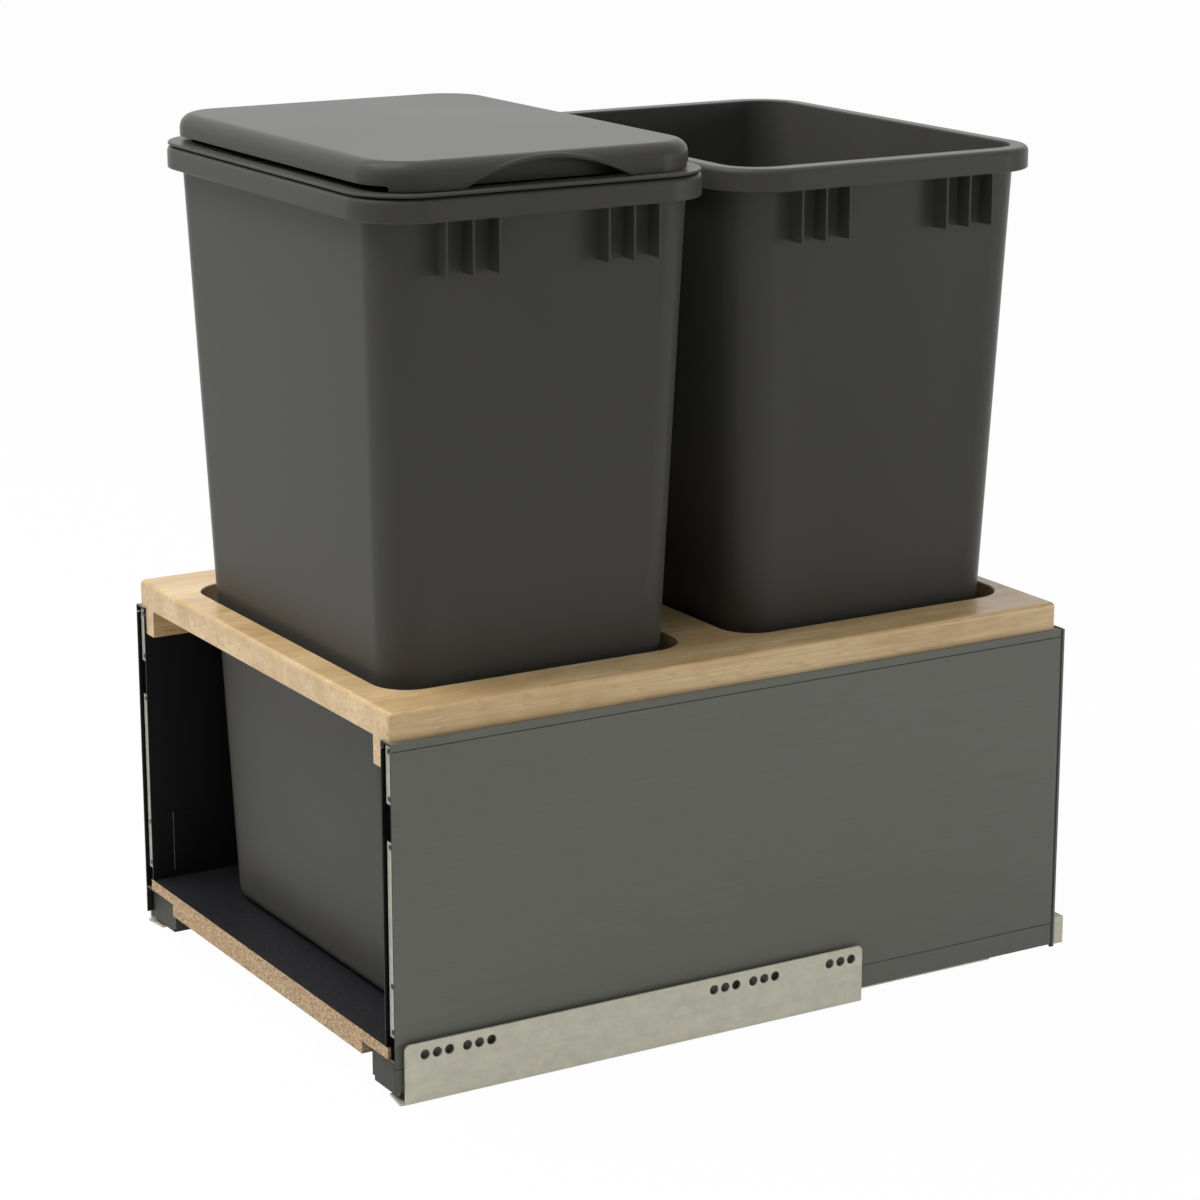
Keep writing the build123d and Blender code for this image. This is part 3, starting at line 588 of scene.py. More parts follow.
def zinc_bloom() -> Tree:
    """Cloudy patches, faint crystals and roller streaks of hot-dip zinc.

    Returns:
        The group.
    """
    zinc = Effect("zinc_bloom")
    crystal_shade, streak_shade = (0.5, 0.5, 0.46, 1), (0.55, 0.55, 0.5, 1)
    cloud = zinc.noise((1, 0.8, 1), size=130.0, detail=5.0)
    drag = zinc.noise((1, 0.08, 1), size=260.0, detail=3.0)
    flake = zinc.texture("ShaderNodeTexVoronoi", (1, 1, 1), size=220.0).outputs["Distance"]
    patches = zinc.remap(cloud)
    crystals = zinc.remap(flake, low=0.0, high=0.8, out_high=0.12)
    dulled = zinc.blend(crystals, zinc.tone(patches), crystal_shade, "MULTIPLY")
    streaked = zinc.blend(zinc.remap(drag, out_high=0.16), dulled, streak_shade, "MULTIPLY")
    return zinc.put_out(streaked, patches, zinc.blend(0.5, cloud, drag))


def maple_grain() -> Tree:
    """Maple: soft figure, long fine fibres along Y, short flecks and pale curl.

    Returns:
        The group.
    """
    wood = Effect("maple_grain")
    dark, light = wood.given["Dark"], wood.given["Light"]
    figure = wood.noise((1.0, 0.12, 1.3), size=46.0, detail=4.0)
    fibre = wood.noise((1.0, 0.04, 1.6), size=380.0, detail=4.0)
    fleck = wood.noise((0.55, 0.22, 1.0), size=300.0, detail=2.0)
    curl = wood.noise((1.0, 0.5, 0.8), size=100.0, detail=3.0)
    figured = wood.tone(wood.remap(figure, low=0.32, high=0.68))
    curled = wood.blend(wood.remap(curl, low=0.38, high=0.62, out_high=0.3), figured, light)
    lined = wood.blend(wood.remap(fibre, low=0.36, high=0.6, out_low=0.5, out_high=0.0), curled, dark)
    flecked = wood.blend(wood.remap(fleck, low=0.56, high=0.68, out_high=0.55), lined, dark)
    return wood.put_out(flecked, wood.remap(curl), wood.blend(0.4, fibre, fleck))


def pressed_chips() -> Tree:
    """Sawn edge of chipboard: light and dark chips with small holes.

    Returns:
        The group.
    """
    chips = Effect("pressed_chips")
    pit_painted_shade = (0.16, 0.095, 0.045, 1)
    flake = chips.texture("ShaderNodeTexVoronoi", (0.75, 0.75, 1.0), size=1050.0)
    shade = chips.node("ShaderNodeSeparateColor", {"Color": flake.outputs["Color"]}).outputs
    # the small holes are real to chipboard, but the mesh has none; their dark brown is painted shade inside
    # them
    pits = chips.remap(chips.noise((0.6, 0.6, 1.0), size=1100.0, detail=2.0), low=0.56, out_high=0.7)
    pitted = chips.blend(pits, chips.tone(shade["Red"]), pit_painted_shade)
    return chips.put_out(pitted, shade["Green"], shade["Blue"])


@dataclass
class Effects:
    """The shared effects, one of each."""

    skin: Tree = field(default_factory=moulded_skin)
    sheet: Tree = field(default_factory=rolled_sheet)
    zinc: Tree = field(default_factory=zinc_bloom)
    maple: Tree = field(default_factory=maple_grain)
    chips: Tree = field(default_factory=pressed_chips)


# ------------------------------------------------------------------ finishes
@dataclass(frozen=True)
class Finish:
    """One finish: an effect between two tones, with its gloss, relief and shine."""

    name: str
    dark: Triple
    light: Triple
    rough: tuple[float, float]
    relief: float
    specular: float = 0.5
    metal: float = 0.0
    coat: float = 0.0
    coat_rough: float = 0.25

    def make(self, effect: Tree) -> Paint:
        """Build the material.

        Args:
            effect: the shared effect that gives colour, gloss and height.

        Returns:
            The material.
        """
        paint = bpy.data.materials.new(self.name)
        paint.use_nodes = True
        wiring = Wiring(paint.node_tree)
        glossiest, dullest = self.rough
        place = wiring.node("ShaderNodeTexCoord").outputs["Object"]
        tones = {"Dark": (*self.dark, 1.0), "Light": (*self.light, 1.0)}
        look = wiring.node("ShaderNodeGroup", {"Vector": place, **tones}, node_tree=effect).outputs
        gloss = {"Value": look["Gloss"], "To Min": glossiest, "To Max": dullest}
        bump = {"Height": look["Height"], "Distance": self.relief, "Strength": 1.0}
        surface = {
            "Base Color": look["Color"],
            "Roughness": wiring.node("ShaderNodeMapRange", gloss).outputs["Result"],
            "Normal": wiring.node("ShaderNodeBump", bump).outputs["Normal"],
            "Metallic": self.metal,
            "Specular IOR Level": self.specular,
            "Coat Weight": self.coat,
            "Coat Roughness": self.coat_rough,
        }
        wiring.feed(paint.node_tree.nodes["Principled BSDF"], surface)
        return paint


@dataclass(frozen=True)
class FacedFinish(Finish):
    """A finish with another, plain colour on the two faces across one axis."""

    face: Triple = (0.017, 0.017, 0.020)
    face_rough: float = 0.38
    across: str = "Z"
    squareness: float = 0.7

    def make(self, effect: Tree) -> Paint:
        """Build the material, with the plain colour where the surface faces along the axis.

        Args:
            effect: the shared effect of the other faces.

        Returns:
            The material.
        """
        board = super().make(effect)
        wiring = Wiring(board.node_tree)
        facing = wiring.parts("ShaderNodeNewGeometry", "True Normal")[self.across]
        flat = wiring.maths("GREATER_THAN", wiring.maths("ABSOLUTE", facing), self.squareness)
        # the plain colour is black laminate on the boards, and a painted highlight on the cover cap's edges
        wiring.cover("Base Color", self.face, flat)
        wiring.cover("Roughness", (self.face_rough,) * 3, flat)
        return board


@dataclass(frozen=True)
class SheetFinish(Finish):
    """Paint on the faces of the drawer's sides that look outwards or up, and black on all others.

    A face looks outwards where its place in X, in metres, times its normal's X is over the threshold. A strip
    of painted shade, also placed in metres, runs up the side where its panel meets the back bracket, in place
    of the shadow in a gap that the meshes don't have.
    """

    hidden: Triple = (0.004, 0.004, 0.004)
    threshold: float = 0.1
    painted_shade_y: float = 0.2426
    painted_shade_half: float = 0.0008

    def make(self, effect: Tree) -> Paint:
        """Build the material: black where a face looks inwards or to the ends, and a strip of painted shade.

        Args:
            effect: the shared effect of the painted faces.

        Returns:
            The material.
        """
        paint = super().make(effect)
        wiring = Wiring(paint.node_tree)
        spot = wiring.parts("ShaderNodeTexCoord", "Object")
        normal = wiring.parts("ShaderNodeNewGeometry", "True Normal")
        outward = wiring.maths("MULTIPLY", spot["X"], normal["X"])
        turned_away = wiring.maths("LESS_THAN", wiring.maths("MAXIMUM", outward, normal["Z"]), self.threshold)
        # painted shade: a dark strip up the back bracket's edge where it meets the panel, for the shadow in a
        # gap
        seam = wiring.maths("COMPARE", spot["Y"], self.painted_shade_y, self.painted_shade_half)
        wiring.cover("Base Color", self.hidden, wiring.maths("MAXIMUM", turned_away, seam))
        return paint


def dress(piece: Piece, paint: Paint) -> None:
    """Give a whole piece one material."""
    piece.data.materials.clear()
    piece.data.materials.append(paint)


# ------------------------------------------------------------------ bins and lid
@dataclass
class TallBin:
    """Tapered plastic bin with a hanging rim band and ribs under it, in millimetres."""

    node: str
    body: str
    middle_y: float
    foot: Outline = Outline(255.1, 184.7, 25.0, 34.2)
    mouth: Outline = Outline(297.5, 220.3, 26.0, 542.9)
    rim: Outline = Outline(321.8, 238.4, 39.0, 528.7)
    wall: float = 2.5
    foot_round: float = 8.0
    foot_steps: int = 5
    neck_round: float = 1.0
    band_round: float = 0.8
    band_edge: float = 0.5
    rim_round: float = 3.5
    rim_steps: int = 6
    mouth_round: float = 1.2
    mouth_steps: int = 4
    rib_places: tuple[float, ...] = (37.2, 54.9, 72.6)
    rib_thick: float = 1.5
    rib_low: float = 495.7
    rib_in: float = 146.6
    rib_out: float = 160.1
    rib_edge: float = 0.3

    def at(self, height: float) -> Outline:
        """The outer wall's outline at a height.

        Args:
            height: the height, between the foot's and the mouth's.

        Returns:
            The outline.
        """
        share = (height - self.foot.height) / (self.mouth.height - self.foot.height)
        ends = zip(self._sizes(self.foot), self._sizes(self.mouth))
        return Outline(*(low + (high - low) * share for low, high in ends), height)

    @staticmethod
    def _sizes(outline: Outline) -> Triple:
        """Width, depth and corner of an outline."""
        return outline.width, outline.depth, outline.corner

    def _foot_rings(self, thickness: float) -> list[Outline]:
        """Outlines of the rounded foot, inside or outside.

        Args:
            thickness: 0 for the outer skin, or the wall for the inner one.

        Returns:
            The outlines from the flat up to the wall.
        """
        radius = self.foot_round - thickness
        rings = []
        for turn in quarter_turn(self.foot_steps):
            height = self.foot.height + thickness + radius * (1 - math.cos(turn))
            rings.append(self.at(height).inset(thickness + radius * (1 - math.sin(turn)), height))
        return rings

    def outlines(self) -> list[Outline]:
        """Outlines of the whole skin.

        Returns:
            The outlines from under the foot over the rim to the floor inside.
        """
        top = self.mouth.height
        plate = top - self.wall
        inner = self.at(top).inset(self.wall, top)
        band_in = self.rim.inset(self.wall, self.rim.height)
        wall_top = self.rim.inset(0.0, top - self.rim_round)
        rings = [
            *self._foot_rings(0.0),
            self.at(plate - self.neck_round),
            self.at(plate).inset(-self.neck_round, plate),
            band_in.inset(self.band_round, plate),
            band_in.inset(0.0, plate - self.band_round),
            band_in,
            self.rim.inset(self.band_edge, self.rim.height),
            self.rim.inset(0.0, self.rim.height + self.band_edge),
            wall_top,
            *rounded_top(wall_top, self.rim_round, self.rim_steps),
        ]
        for turn in quarter_turn(self.mouth_steps):
            drop = self.mouth_round * (1 - math.cos(turn))
            rings.append(inner.inset(-self.mouth_round * (1 - math.sin(turn)), top - drop))
        return rings + list(reversed(self._foot_rings(self.wall)))

    def _ribs(self) -> list[Piece]:
        """Model one rib and copy it to all places under the rim.

        Returns:
            The ribs.
        """
        low = Vector((self.rib_in, self.middle_y - self.rib_thick / 2, self.rib_low)) * MM
        rib_top = self.mouth.height - self.wall / 2
        high = Vector((self.rib_out, self.middle_y + self.rib_thick / 2, rib_top)) * MM
        rib = block("rib", low, high, self.rib_edge * MM)
        span = (self.rib_in + self.rib_out) * MM
        ribs = []
        for side in Side:
            over = 0.0 if side is Side.RIGHT else -span
            for place in self.rib_places:
                for offset in (place, -place):
                    ribs.append(copy_to(rib, "rib", Vector((over, offset * MM, 0))))
        bpy.data.objects.remove(rib)
        return ribs

    def build(self) -> Piece:
        """Model the bin.

        Returns:
            The bin, riding on its body.
        """
        loft = RingLoft(f"{self.node}_shell", self.middle_y)
        loft.stack(self.outlines(), capped=True)
        shell = loft.close()
        join(shell, self._ribs())
        smooth(shell)
        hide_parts(self.node)
        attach(shell, self.body)
        return shell


@dataclass(frozen=True)
class Knuckle:
    """Eye on the lid's hinge line, and the stem that carries it, in millimetres."""

    name: str
    radius: float
    wide: float
    edge: float
    steps: int


@dataclass
class Lid:
    """Ring on the front bin, and the cover hinged to it, in millimetres."""

    middle_y: float = FRONT_BIN_Y
    ring: Outline = Outline(320.8, 237.4, 38.5, 542.9)
    ring_thick: float = 2.5
    ring_round: float = 0.9
    ring_steps: int = 4
    seam: float = 0.8
    seam_depth: float = 5.0
    seam_draft: float = 0.3
    seam_edge: float = 0.2
    lip: Outline = Outline(289.3, 212.1, 23.5, 530.9)
    lip_thick: float = 2.0
    hole_round: float = 0.6
    edge: float = 0.5
    cover: Outline = Outline(307.0, 223.0, 34.0, 545.7)
    cover_high: float = 17.5
    cover_wall: float = 2.2
    cover_round: float = 9.0
    outer_steps: int = 9
    inner_steps: int = 7
    relief: float = 3.6
    relief_round: float = 1.7
    relief_end: float = 143.5
    hinge_relief: float = 1.6
    hinge_relief_end: float = 123.5
    arch_wide: float = 114.0
    arch_high: float = 14.6
    arch_lip: float = 1.5
    pocket_x: float = 139.5
    pocket_deep: float = 30.0
    pocket_edge: float = 0.3
    pocket_clear: float = 0.1
    pocket_sunk: float = 0.4
    hinge_x: float = -149.0
    hinge_y: float = 60.0
    hinge_z: float = 553.0
    ear: Knuckle = Knuckle("ear", radius=3.4, wide=8.0, edge=0.3, steps=48)
    lug: Knuckle = Knuckle("lug", radius=3.0, wide=4.0, edge=0.2, steps=32)
    lug_gap: float = 0.5
    lug_drop: float = 1.5
    past: float = 5.0

    @property
    def top(self) -> float:
        """Height of the cover's flat top."""
        return self.cover.height + self.cover_high

    @property
    def arch_radius(self) -> float:
        """Radius of the finger recess's arch, from its chord and its height."""
        return (self.arch_wide**2 / 4 + self.arch_high**2) / (2 * self.arch_high)

    def point(self, x: float, y: float, z: float) -> Vector:
        """A place given from the lid's own centre line, in metres."""
        return Vector((x, self.middle_y + y, z)) * MM

    def _box(self, name: str, low: Triple, high: Triple, edge: float = 0.0, steps: int = 2) -> Piece:
        """Block between two corners given from the lid's own centre line."""
        return block(name, self.point(*low), self.point(*high), edge * MM, steps)

    def _knuckle(self, kind: Knuckle, y: float, low: float, high: float) -> list[Piece]:
        """Model an eye on the hinge line and its stem.

        Args:
            kind: their sizes.
            y: their middle along the hinge.
            low: height of the stem's lower end.
            high: height of its upper end.

        Returns:
            The eye and the stem.
        """
        radius, half = kind.radius, kind.wide / 2
        middle = self.point(self.hinge_x, y, self.hinge_z)
        near, far = (self.hinge_x - radius, y - half, low), (self.hinge_x + radius, y + half, high)
        eye = rod(f"{kind.name}_eye", middle, radius * MM, kind.wide * MM, "Y", kind.steps)
        return [eye, self._box(f"{kind.name}_stem", near, far, kind.edge)]

    def build_ring(self) -> Piece:
        """Model the ring with its locating lip, the open seam under its edge and two ears.

        Returns:
            The ring, riding on the front bin.
        """
        under, over = self.ring.height, self.ring.height + self.ring_thick
        lip_low, seam_top = self.lip.height, self.ring.height + self.seam
        hole = self.lip.inset(self.lip_thick, over)
        hole_turn = self.hole_round / 3
        wall_top = self.ring.inset(0.0, over - self.ring_round)
        rings = [
            self.lip.inset(self.edge, lip_low),
            self.lip.inset(0.0, lip_low + self.edge),
            self.lip.inset(0.0, under),
            self.ring.inset(self.seam_depth, under),
            self.ring.inset(self.seam_depth - self.seam_draft, seam_top),
            self.ring.inset(self.seam_edge, seam_top),
            self.ring.inset(0.0, seam_top + self.seam_edge),
            wall_top,
            *rounded_top(wall_top, self.ring_round, self.ring_steps),
            hole.inset(-self.hole_round, over),
            hole.inset(-hole_turn, over - hole_turn),
            hole.inset(0.0, over - self.hole_round),
            hole.inset(0.0, lip_low + self.edge),
            hole.inset(-self.edge, lip_low),
        ]
        loft = RingLoft("lid_ring_moulding", self.middle_y)
        loft.stack(rings, capped=False)
        ring = loft.close()
        ears = []
        for y in (-self.hinge_y, self.hinge_y):
            ears += self._knuckle(self.ear, y, over - self.edge, self.hinge_z)
        join(ring, ears)
        smooth(ring)
        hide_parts("lid_ring")
        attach(ring, "front_bin")
        return ring

    def _cover_shell(self) -> Piece:
        """Model the closed cover, before anything is cut from it.

        Returns:
            The cover.
        """
        foot, wall_top = self.cover.height, self.top - self.cover_round
        inner = self.cover.inset(self.cover_wall, foot)
        inner_top, outer_top = inner.inset(0.0, wall_top), self.cover.inset(0.0, wall_top)
        rings = [
            *reversed(rounded_top(inner_top, self.cover_round - self.cover_wall, self.inner_steps)),
            inner_top,
            inner,
            self.cover.inset(self.edge, foot),
            self.cover.inset(0.0, foot + self.edge),
            outer_top,
            *rounded_top(outer_top, self.cover_round, self.outer_steps),
        ]
        loft = RingLoft("lid_cover_moulding", self.middle_y, corner_steps=16)
        loft.stack(rings, capped=True)
        return loft.close()

    def _cutters(self) -> list[Piece]:
        """Model what is taken out of the cover.

        Returns:
            The side reliefs, the hinge relief, the arch and the hinge windows.
        """
        skirt = self.cover.height
        x, y, low = self.cover.width / 2 + self.past, self.cover.depth / 2 + self.past, skirt - self.past
        slot = (-self.relief_end, -y, low), (self.relief_end, y, skirt + self.relief)
        gap = (-x, -y, low), (self.hinge_relief_end, y, skirt + self.hinge_relief)
        arch_z = skirt + self.arch_high - self.arch_radius
        middle = self.point(self.pocket_x + self.pocket_deep / 2, 0, arch_z)
        tools = [
            self._box("slot", *slot, self.relief_round, steps=4),
            self._box("hinge_gap", *gap),
            rod("arch", middle, self.arch_radius * MM, self.pocket_deep * MM, "X", steps=256),
        ]
        reach = self.ear.wide / 2 + self.lug_gap
        window_top = self.hinge_z + self.ear.radius + self.lug_gap
        for place in (-self.hinge_y, self.hinge_y):
            window = (-x, place - reach, low), (self.hinge_x, place + reach, window_top)
            tools.append(self._box("window", *window))
        return tools

    def _fittings(self) -> list[Piece]:
        """Model what is joined to the cover.

        Returns:
            The pocket's walls, the hinge lugs and the arch's rolled lip.
        """
        wall, half, edge = self.cover_wall, self.arch_wide / 2, self.pocket_edge
        low, roof = self.cover.height + self.pocket_clear, self.top - self.cover_wall
        side_y, back_top = half + wall, roof + self.pocket_sunk
        back = (self.pocket_x - wall, -side_y, low), (self.pocket_x, side_y, back_top)
        parts = [self._box("pocket_back", *back, edge)]
        start_x, end_x = self.pocket_x - wall / 2, self.cover.width / 2 - wall / 2
        reach = self.ear.wide / 2 + self.lug_gap + self.lug.wide / 2
        for side in (-1, 1):
            near, far = sorted((side * half, side * (half + wall)))
            end = (start_x, near, low), (end_x, far, self.top - self.cover_round)
            parts.append(self._box("pocket_end", *end, edge))
            for offset in (-reach, reach):
                y = side * self.hinge_y + offset
                parts += self._knuckle(self.lug, y, self.hinge_z, roof - self.lug_drop)
        return [*parts, self._rolled_lip()]

    def _rolled_lip(self) -> Piece:
        """Spin the rounded lip that follows the arch round the arch's centre.

        It is sunk a little into the cover's wall, and its ends go a little further than the arch.

        Returns:
            The lip.
        """
        overshoot, sunk_x, sunk_out = 1.02, 0.95, 0.55
        reach = math.asin(self.arch_wide / 2 / self.arch_radius) * overshoot
        path = self.arch_radius + self.arch_lip * sunk_out
        x = self.cover.width / 2 - self.arch_lip * sunk_x
        centre = self.point(x, 0, self.cover.height + self.arch_high - self.arch_radius)
        start = centre + Vector((0, -math.sin(reach), math.cos(reach))) * path * MM
        turn = (-(math.pi / 2 - reach), 0, 0)
        bpy.ops.object.select_all(action="DESELECT")
        bpy.ops.mesh.primitive_circle_add(
            vertices=16, radius=self.arch_lip * MM, fill_type="NGON", location=start, rotation=turn
        )
        lip = settle("arch_lip")
        bpy.ops.object.mode_set(mode="EDIT")
        bpy.ops.mesh.select_all(action="SELECT")
        bpy.ops.mesh.spin(steps=60, angle=2 * reach, center=centre, axis=(1, 0, 0))
        bpy.ops.mesh.select_all(action="SELECT")
        bpy.ops.mesh.remove_doubles(threshold=1e-6)
        bpy.ops.mesh.normals_make_consistent(inside=False)
        bpy.ops.object.mode_set(mode="OBJECT")
        return lip

    def build_cover(self) -> Piece:
        """Model the cover.

        Returns:
            The cover, riding on the lid body.
        """
        cover = self._cover_shell()
        cut(cover, self._cutters())
        join(cover, self._fittings())
        smooth(cover, angle=40)
        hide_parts("lid_cover")
        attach(cover, "lid")
        return cover


# ------------------------------------------------------------------ maple frame
@dataclass
class MapleFrame:
    """Frame on the drawer's sides with a cut-out for each bin, in millimetres."""

    bin_places: tuple[float, float] = (FRONT_BIN_Y, REAR_BIN_Y)
    low: Triple = (-182.45, -253.1, 228.0)
    high: Triple = (182.45, 239.8, 246.0)
    edge_round: float = 3.0
    cutout: Outline = Outline(291.8, 212.5, 23.6, 218.0)
    cutout_round: float = 1.2
    past: float = 10.0
    margin: float = 0.5
    level: float = 0.01

    def _off_bottom(self, first: Vector, second: Vector) -> bool:
        """Whether an edge lies off the slab's underside."""
        return max(first.z, second.z) > self.low[2] + self.margin

    def _on_rim(self, first: Vector, second: Vector) -> bool:
        """Whether an edge lies on the top rim of a cut-out.

        Args:
            first: one end of the edge.
            second: its other end.

        Returns:
            True on a rim.
        """
        half_x, half_y = self.cutout.width / 2 + self.margin, self.cutout.depth / 2 + self.margin
        near = min(abs(first.y - place) for place in self.bin_places) < half_y
        level = all(abs(end.z - self.high[2]) < self.level for end in (first, second))
        return near and level and all(abs(end.x) < half_x for end in (first, second))

    def build(self) -> Piece:
        """Model the frame.

        Returns:
            The frame, riding on the drawer.
        """
        slab = block("maple_frame", Vector(self.low) * MM, Vector(self.high) * MM)
        round_edges(slab, self._off_bottom, self.edge_round, steps=6)
        tools = []
        for place in self.bin_places:
            loft = RingLoft("cutout", place, corner_steps=14)
            loft.stack([self.cutout, self.cutout.inset(0.0, self.high[2] + self.past)], capped=True)
            tools.append(loft.close())
        cut(slab, tools)
        round_edges(slab, self._on_rim, self.cutout_round, steps=4)
        smooth(slab)
        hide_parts("top_frame")
        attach(slab, "drawer")
        return slab


# ------------------------------------------------------------------ rear hooks
@dataclass
class HookFold:
    """Folded cheek and top that close a drawer rail's rear hook, in millimetres."""

    side: Side
    inner_x: float = 171.6
    outer_x: float = 183.1
    front_y: float = 244.9
    rear_y: float = 254.4
    bottom: float = 6.1
    top: float = 25.1
    sheet: float = 1.3
    edge: float = 0.4
    tuck: float = 0.05

    def leaf(self, name: str, inner_x: float, bottom: float, inset: float = 0.0) -> Piece:
        """One leaf of the fold.

        Args:
            name: the object's name.
            inner_x: distance of its inner face from the unit's middle.
            bottom: height of its lower face.
            inset: how far it stays inside the fold's outer, upper and rear faces.

        Returns:
            The leaf.
        """
        near, far = sorted((self.side.value * inner_x, self.side.value * (self.outer_x - inset)))
        low = Vector((near, self.front_y, bottom))
        high = Vector((far, self.rear_y - inset, self.top - inset))
        return block(name, low * MM, high * MM, self.edge * MM)

    def build(self) -> Piece:
        """Model the fold.

        Returns:
            The fold, riding on the drawer.
        """
        fold = self.leaf(f"hook_fold_{self.side.name.lower()}", self.outer_x - self.sheet, self.bottom)
        join(fold, [self.leaf("fold_top", self.inner_x, self.top - self.sheet, self.tuck)])
        smooth(fold)
        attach(fold, "drawer")
        return fold


# ------------------------------------------------------------------ studio
WHITE = (1.0, 1.0, 1.0, 1.0)


@dataclass
class Studio:
    """Camera at the photograph's place, soft lamps, white floor and background, in metres."""

    eye: Triple = (1.9035, -1.1357, 0.8320)
    target: Triple = (0.0, -0.00047, 0.2386)
    lens: float = 103.24
    lit_spot: Triple = (0.0, 0.0, 0.3)
    ambient: float = 0.16
    sky_white: float = 0.99
    floor_wide: float = 30.0
    floor_z: float = -0.0006
    floor_colour: Rgba = (0.9, 0.9, 0.9, 1.0)
    floor_white: float = 0.975

    @staticmethod
    def aim(thing: Piece, place: Triple, spot: Triple) -> None:
        """Put a camera or a lamp into the scene, turned towards a spot.

        Args:
            thing: the camera or lamp.
            place: where it stands.
            spot: what it points at.
        """
        thing.location = place
        thing.rotation_euler = (Vector(spot) - Vector(place)).to_track_quat("-Z", "Y").to_euler()
        bpy.context.scene.collection.objects.link(thing)

    def camera(self) -> None:
        """Place the camera."""
        lens = bpy.data.cameras.new("camera")
        lens.lens = self.lens
        lens.sensor_width = 36.0
        eye = bpy.data.objects.new("camera", lens)
        self.aim(eye, self.eye, self.target)
        bpy.context.scene.camera = eye

    def lamp(self, name: str, place: Triple, size: float, watts: float) -> None:
        """Hang a square soft lamp that points at the object's middle.

        Args:
            name: the lamp's name.
            place: where it hangs.
            size: its side in metres.
            watts: its power.
        """
        light = bpy.data.lights.new(name, "AREA")
        light.shape = "SQUARE"
        light.size = size
        light.energy = watts
        lamp = bpy.data.objects.new(name, light)
        lamp.visible_camera = False
        self.aim(lamp, place, self.lit_spot)

    def world(self) -> None:
        """White behind the object, and a soft even light on it."""
        sky = bpy.data.worlds.new("studio")
        sky.use_nodes = True
        wiring = Wiring(sky.node_tree)
        soft = sky.node_tree.nodes["Background"]
        wiring.feed(soft, {"Color": WHITE, "Strength": self.ambient})
        white = wiring.node("ShaderNodeBackground", {"Color": WHITE, "Strength": self.sky_white})
        wiring.show(wiring.seen(), soft, white, "World Output")
        bpy.context.scene.world = sky

    def floor(self) -> None:
        """White floor that keeps a faint shadow."""
        bpy.ops.object.select_all(action="DESELECT")
        bpy.ops.mesh.primitive_plane_add(size=self.floor_wide, location=(0, 0, self.floor_z))
        ground = settle("floor")
        paint = bpy.data.materials.new("white_floor")
        paint.use_nodes = True
        wiring = Wiring(paint.node_tree)
        wiring.tree.nodes.remove(wiring.tree.nodes["Principled BSDF"])
        matt = wiring.node("ShaderNodeBsdfDiffuse", {"Color": self.floor_colour})
        glow = wiring.node("ShaderNodeEmission", {"Strength": 1.0})
        share = wiring.maths("MULTIPLY", wiring.seen(), self.floor_white)
        wiring.show(share, matt, glow, "Material Output")
        dress(ground, paint)

    def build(self) -> None:
        """Set up the whole studio."""
        self.camera()
        self.world()
        self.floor()
        self.lamp("overhead", (-0.5, -1.05, 3.05), size=2.4, watts=94.0)
        self.lamp("front_left", (-1.1, -3.2, 1.5), size=2.0, watts=8.0)
        self.lamp("right_fill", (2.3, 2.4, 0.5), size=1.3, watts=25.0)
        bpy.context.scene.view_settings.view_transform = "Standard"


# ------------------------------------------------------------------ finishes of the carried-over nodes
BLACK = (0.006, 0.006, 0.0065), (0.008, 0.008, 0.0085)
CHIPS = (0.36, 0.225, 0.115), (0.80, 0.60, 0.385)


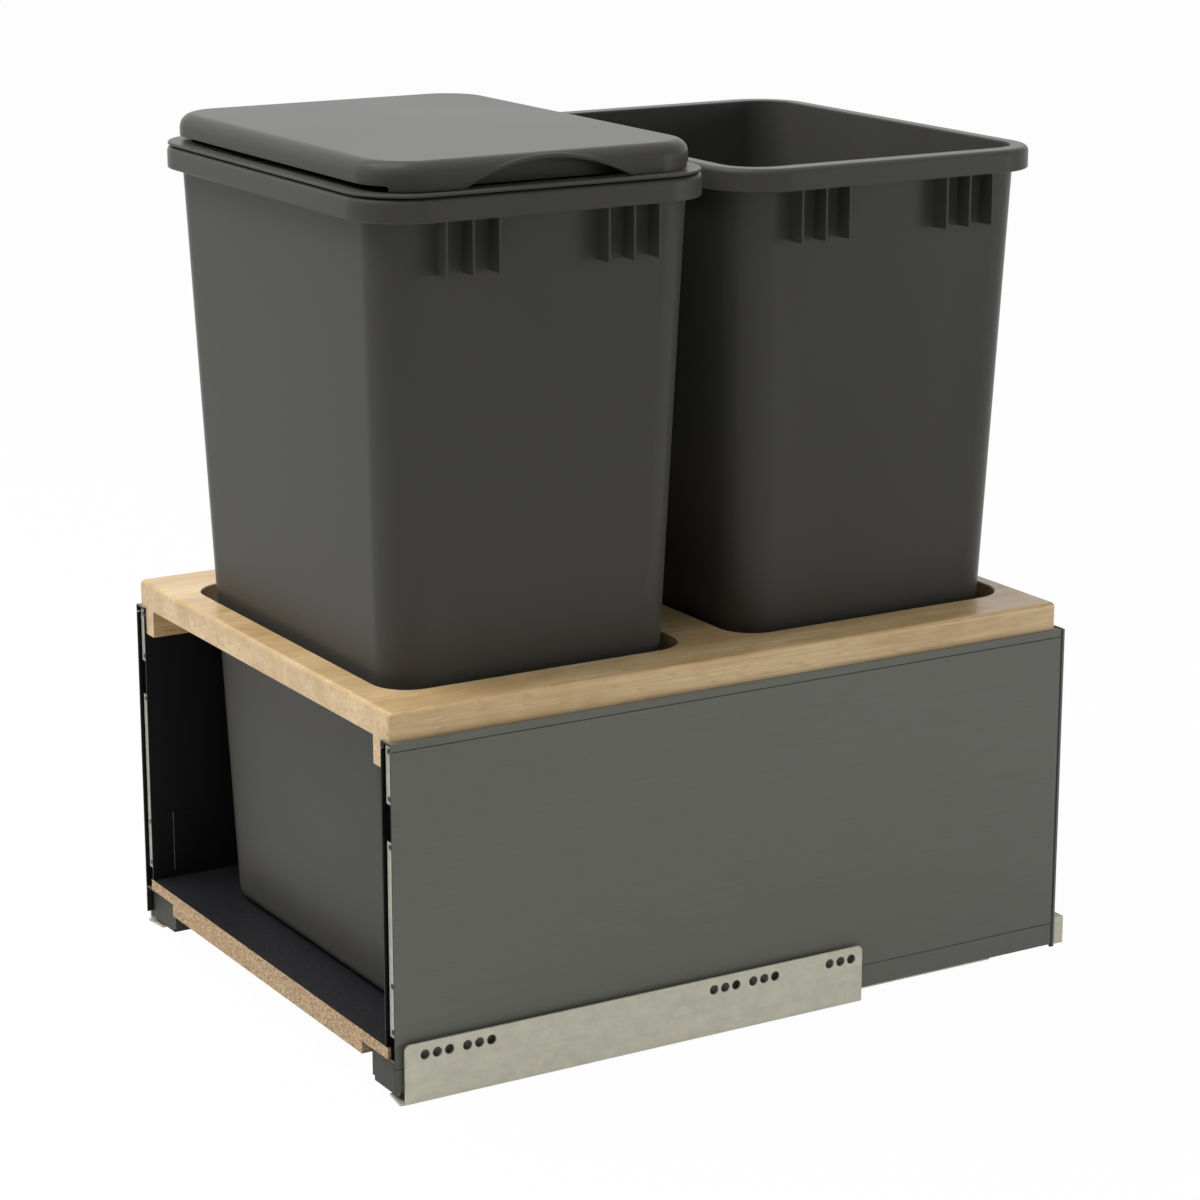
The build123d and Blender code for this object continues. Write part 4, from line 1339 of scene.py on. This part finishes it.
@dataclass
class Wardrobe:
    """Every finish, and the nodes that wear it."""

    effects: Effects
    bin_plastic: Finish = Finish(
        "bin_plastic", (0.0725, 0.0712, 0.0636), (0.0805, 0.0792, 0.0712), (0.29, 0.33), 2e-5, specular=0.08
    )
    # grey side paint, with a strip of painted shade where the panel meets the back bracket
    grey_paint: SheetFinish = SheetFinish(
        "grey_steel", (0.151, 0.153, 0.133), (0.167, 0.170, 0.149), (0.5, 0.58), 1e-5, specular=0.3
    )
    black_paint: Finish = Finish("black_steel", *BLACK, (0.4, 0.5), 1e-5, specular=0.3)
    # cover cap: black, with a painted highlight, a light line, on its faces across Y
    cap_painted_highlight: FacedFinish = FacedFinish(
        "cap_steel", *BLACK, (0.4, 0.5), 1e-5, specular=0.3, face=(0.3, 0.3, 0.29), across="Y"
    )
    black_plastic: Finish = Finish(
        "black_plastic", (0.003, 0.003, 0.003), (0.004, 0.004, 0.004), (0.5, 0.6), 2e-5, specular=0.0
    )
    grey_plastic: Finish = Finish(
        "grey_plastic", (0.054, 0.056, 0.047), (0.068, 0.070, 0.060), (0.45, 0.6), 3e-5, specular=0.2
    )
    cage_plastic: Finish = Finish("cage_plastic", (0.02, 0.02, 0.02), (0.03, 0.03, 0.03), (0.5, 0.6), 3e-5)
    roller_nylon: Finish = Finish("roller_nylon", (0.62, 0.61, 0.57), (0.72, 0.70, 0.66), (0.3, 0.4), 1e-5)
    zinc: Finish = Finish(
        "zinc_steel", (0.53, 0.513, 0.412), (0.62, 0.602, 0.487), (0.45, 0.6), 3e-5, metal=0.4
    )
    bright_zinc: Finish = Finish(
        "bright_zinc", (0.50, 0.485, 0.41), (0.60, 0.585, 0.505), (0.4, 0.5), 2e-5, specular=0.4, metal=0.4
    )
    screw_zinc: Finish = Finish(
        "screw_steel", (0.5, 0.5, 0.48), (0.62, 0.62, 0.6), (0.25, 0.35), 1e-5, metal=1.0
    )
    maple: Finish = Finish(
        "maple", (0.60, 0.383, 0.162), (0.895, 0.672, 0.376), (0.30, 0.46), 6e-5, coat=0.25
    )
    base: FacedFinish = FacedFinish("base_board", *CHIPS, (0.7, 0.9), 1e-4, specular=0.3)
    back: FacedFinish = FacedFinish("back_board", *CHIPS, (0.7, 0.9), 1e-4, specular=0.3, across="Y")

    def dress_nodes(self) -> None:
        """Give each carried-over node its material."""
        fx = self.effects
        screws = "lock_screws", "cleat_screws", "side_screws", "base_screws", "back_screws"
        worn = {
            self.grey_paint: (fx.sheet, ("outer_skin", "top_trim", "side_foot", "back_bracket")),
            self.black_paint: (fx.sheet, ("inner_skin",)),
            self.cap_painted_highlight: (fx.sheet, ("cover_cap",)),
            self.black_plastic: (fx.skin, ("end_frame",)),
            self.grey_plastic: (fx.skin, ("front_lock", "soft_closer", "closer_catch")),
            self.cage_plastic: (fx.skin, ("lower_cage", "upper_cage")),
            self.roller_nylon: (fx.skin, ("lower_rollers", "upper_rollers")),
            self.zinc: (fx.zinc, ("cabinet_rail", "mid_rail", "drawer_rail")),
            self.bright_zinc: (fx.zinc, ("front_bracket_upper", "front_bracket_lower")),
            self.screw_zinc: (fx.zinc, (*screws, "front_adjusters", "lid_hinge_pins")),
            self.maple: (fx.maple, ("cleat",)),
            self.base: (fx.chips, ("base_panel",)),
            self.back: (fx.chips, ("back_panel",)),
        }
        for finish, (effect, stems) in worn.items():
            paint = finish.make(effect)
            for name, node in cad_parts.items():
                if name.removesuffix("_left").removesuffix("_right") in stems:
                    dress(node, paint)
                    LOG.info("%s wears %s", name, finish.name)


def main() -> None:
    """Build the pieces in order, dress them and set up the studio."""
    logging.basicConfig(level=logging.INFO, format="%(name)s: %(message)s")
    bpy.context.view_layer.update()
    effects = Effects()
    wardrobe = Wardrobe(effects)
    wardrobe.dress_nodes()
    lid = Lid()
    plastic = wardrobe.bin_plastic.make(effects.skin)
    moulded = [
        TallBin("bin_front", "front_bin", FRONT_BIN_Y).build(),
        TallBin("bin_rear", "rear_bin", REAR_BIN_Y).build(),
        lid.build_ring(),
        lid.build_cover(),
    ]
    wood = [MapleFrame().build()]
    maple = wardrobe.maple.make(effects.maple)
    folds = [HookFold(side).build() for side in Side]
    zinc = wardrobe.zinc.make(effects.zinc)
    for paint, pieces in ((plastic, moulded), (maple, wood), (zinc, folds)):
        for piece in pieces:
            dress(piece, paint)
            LOG.info("%s built with %d faces", piece.name, len(piece.data.polygons))
    Studio().build()


if __name__ == "__main__":
    main()
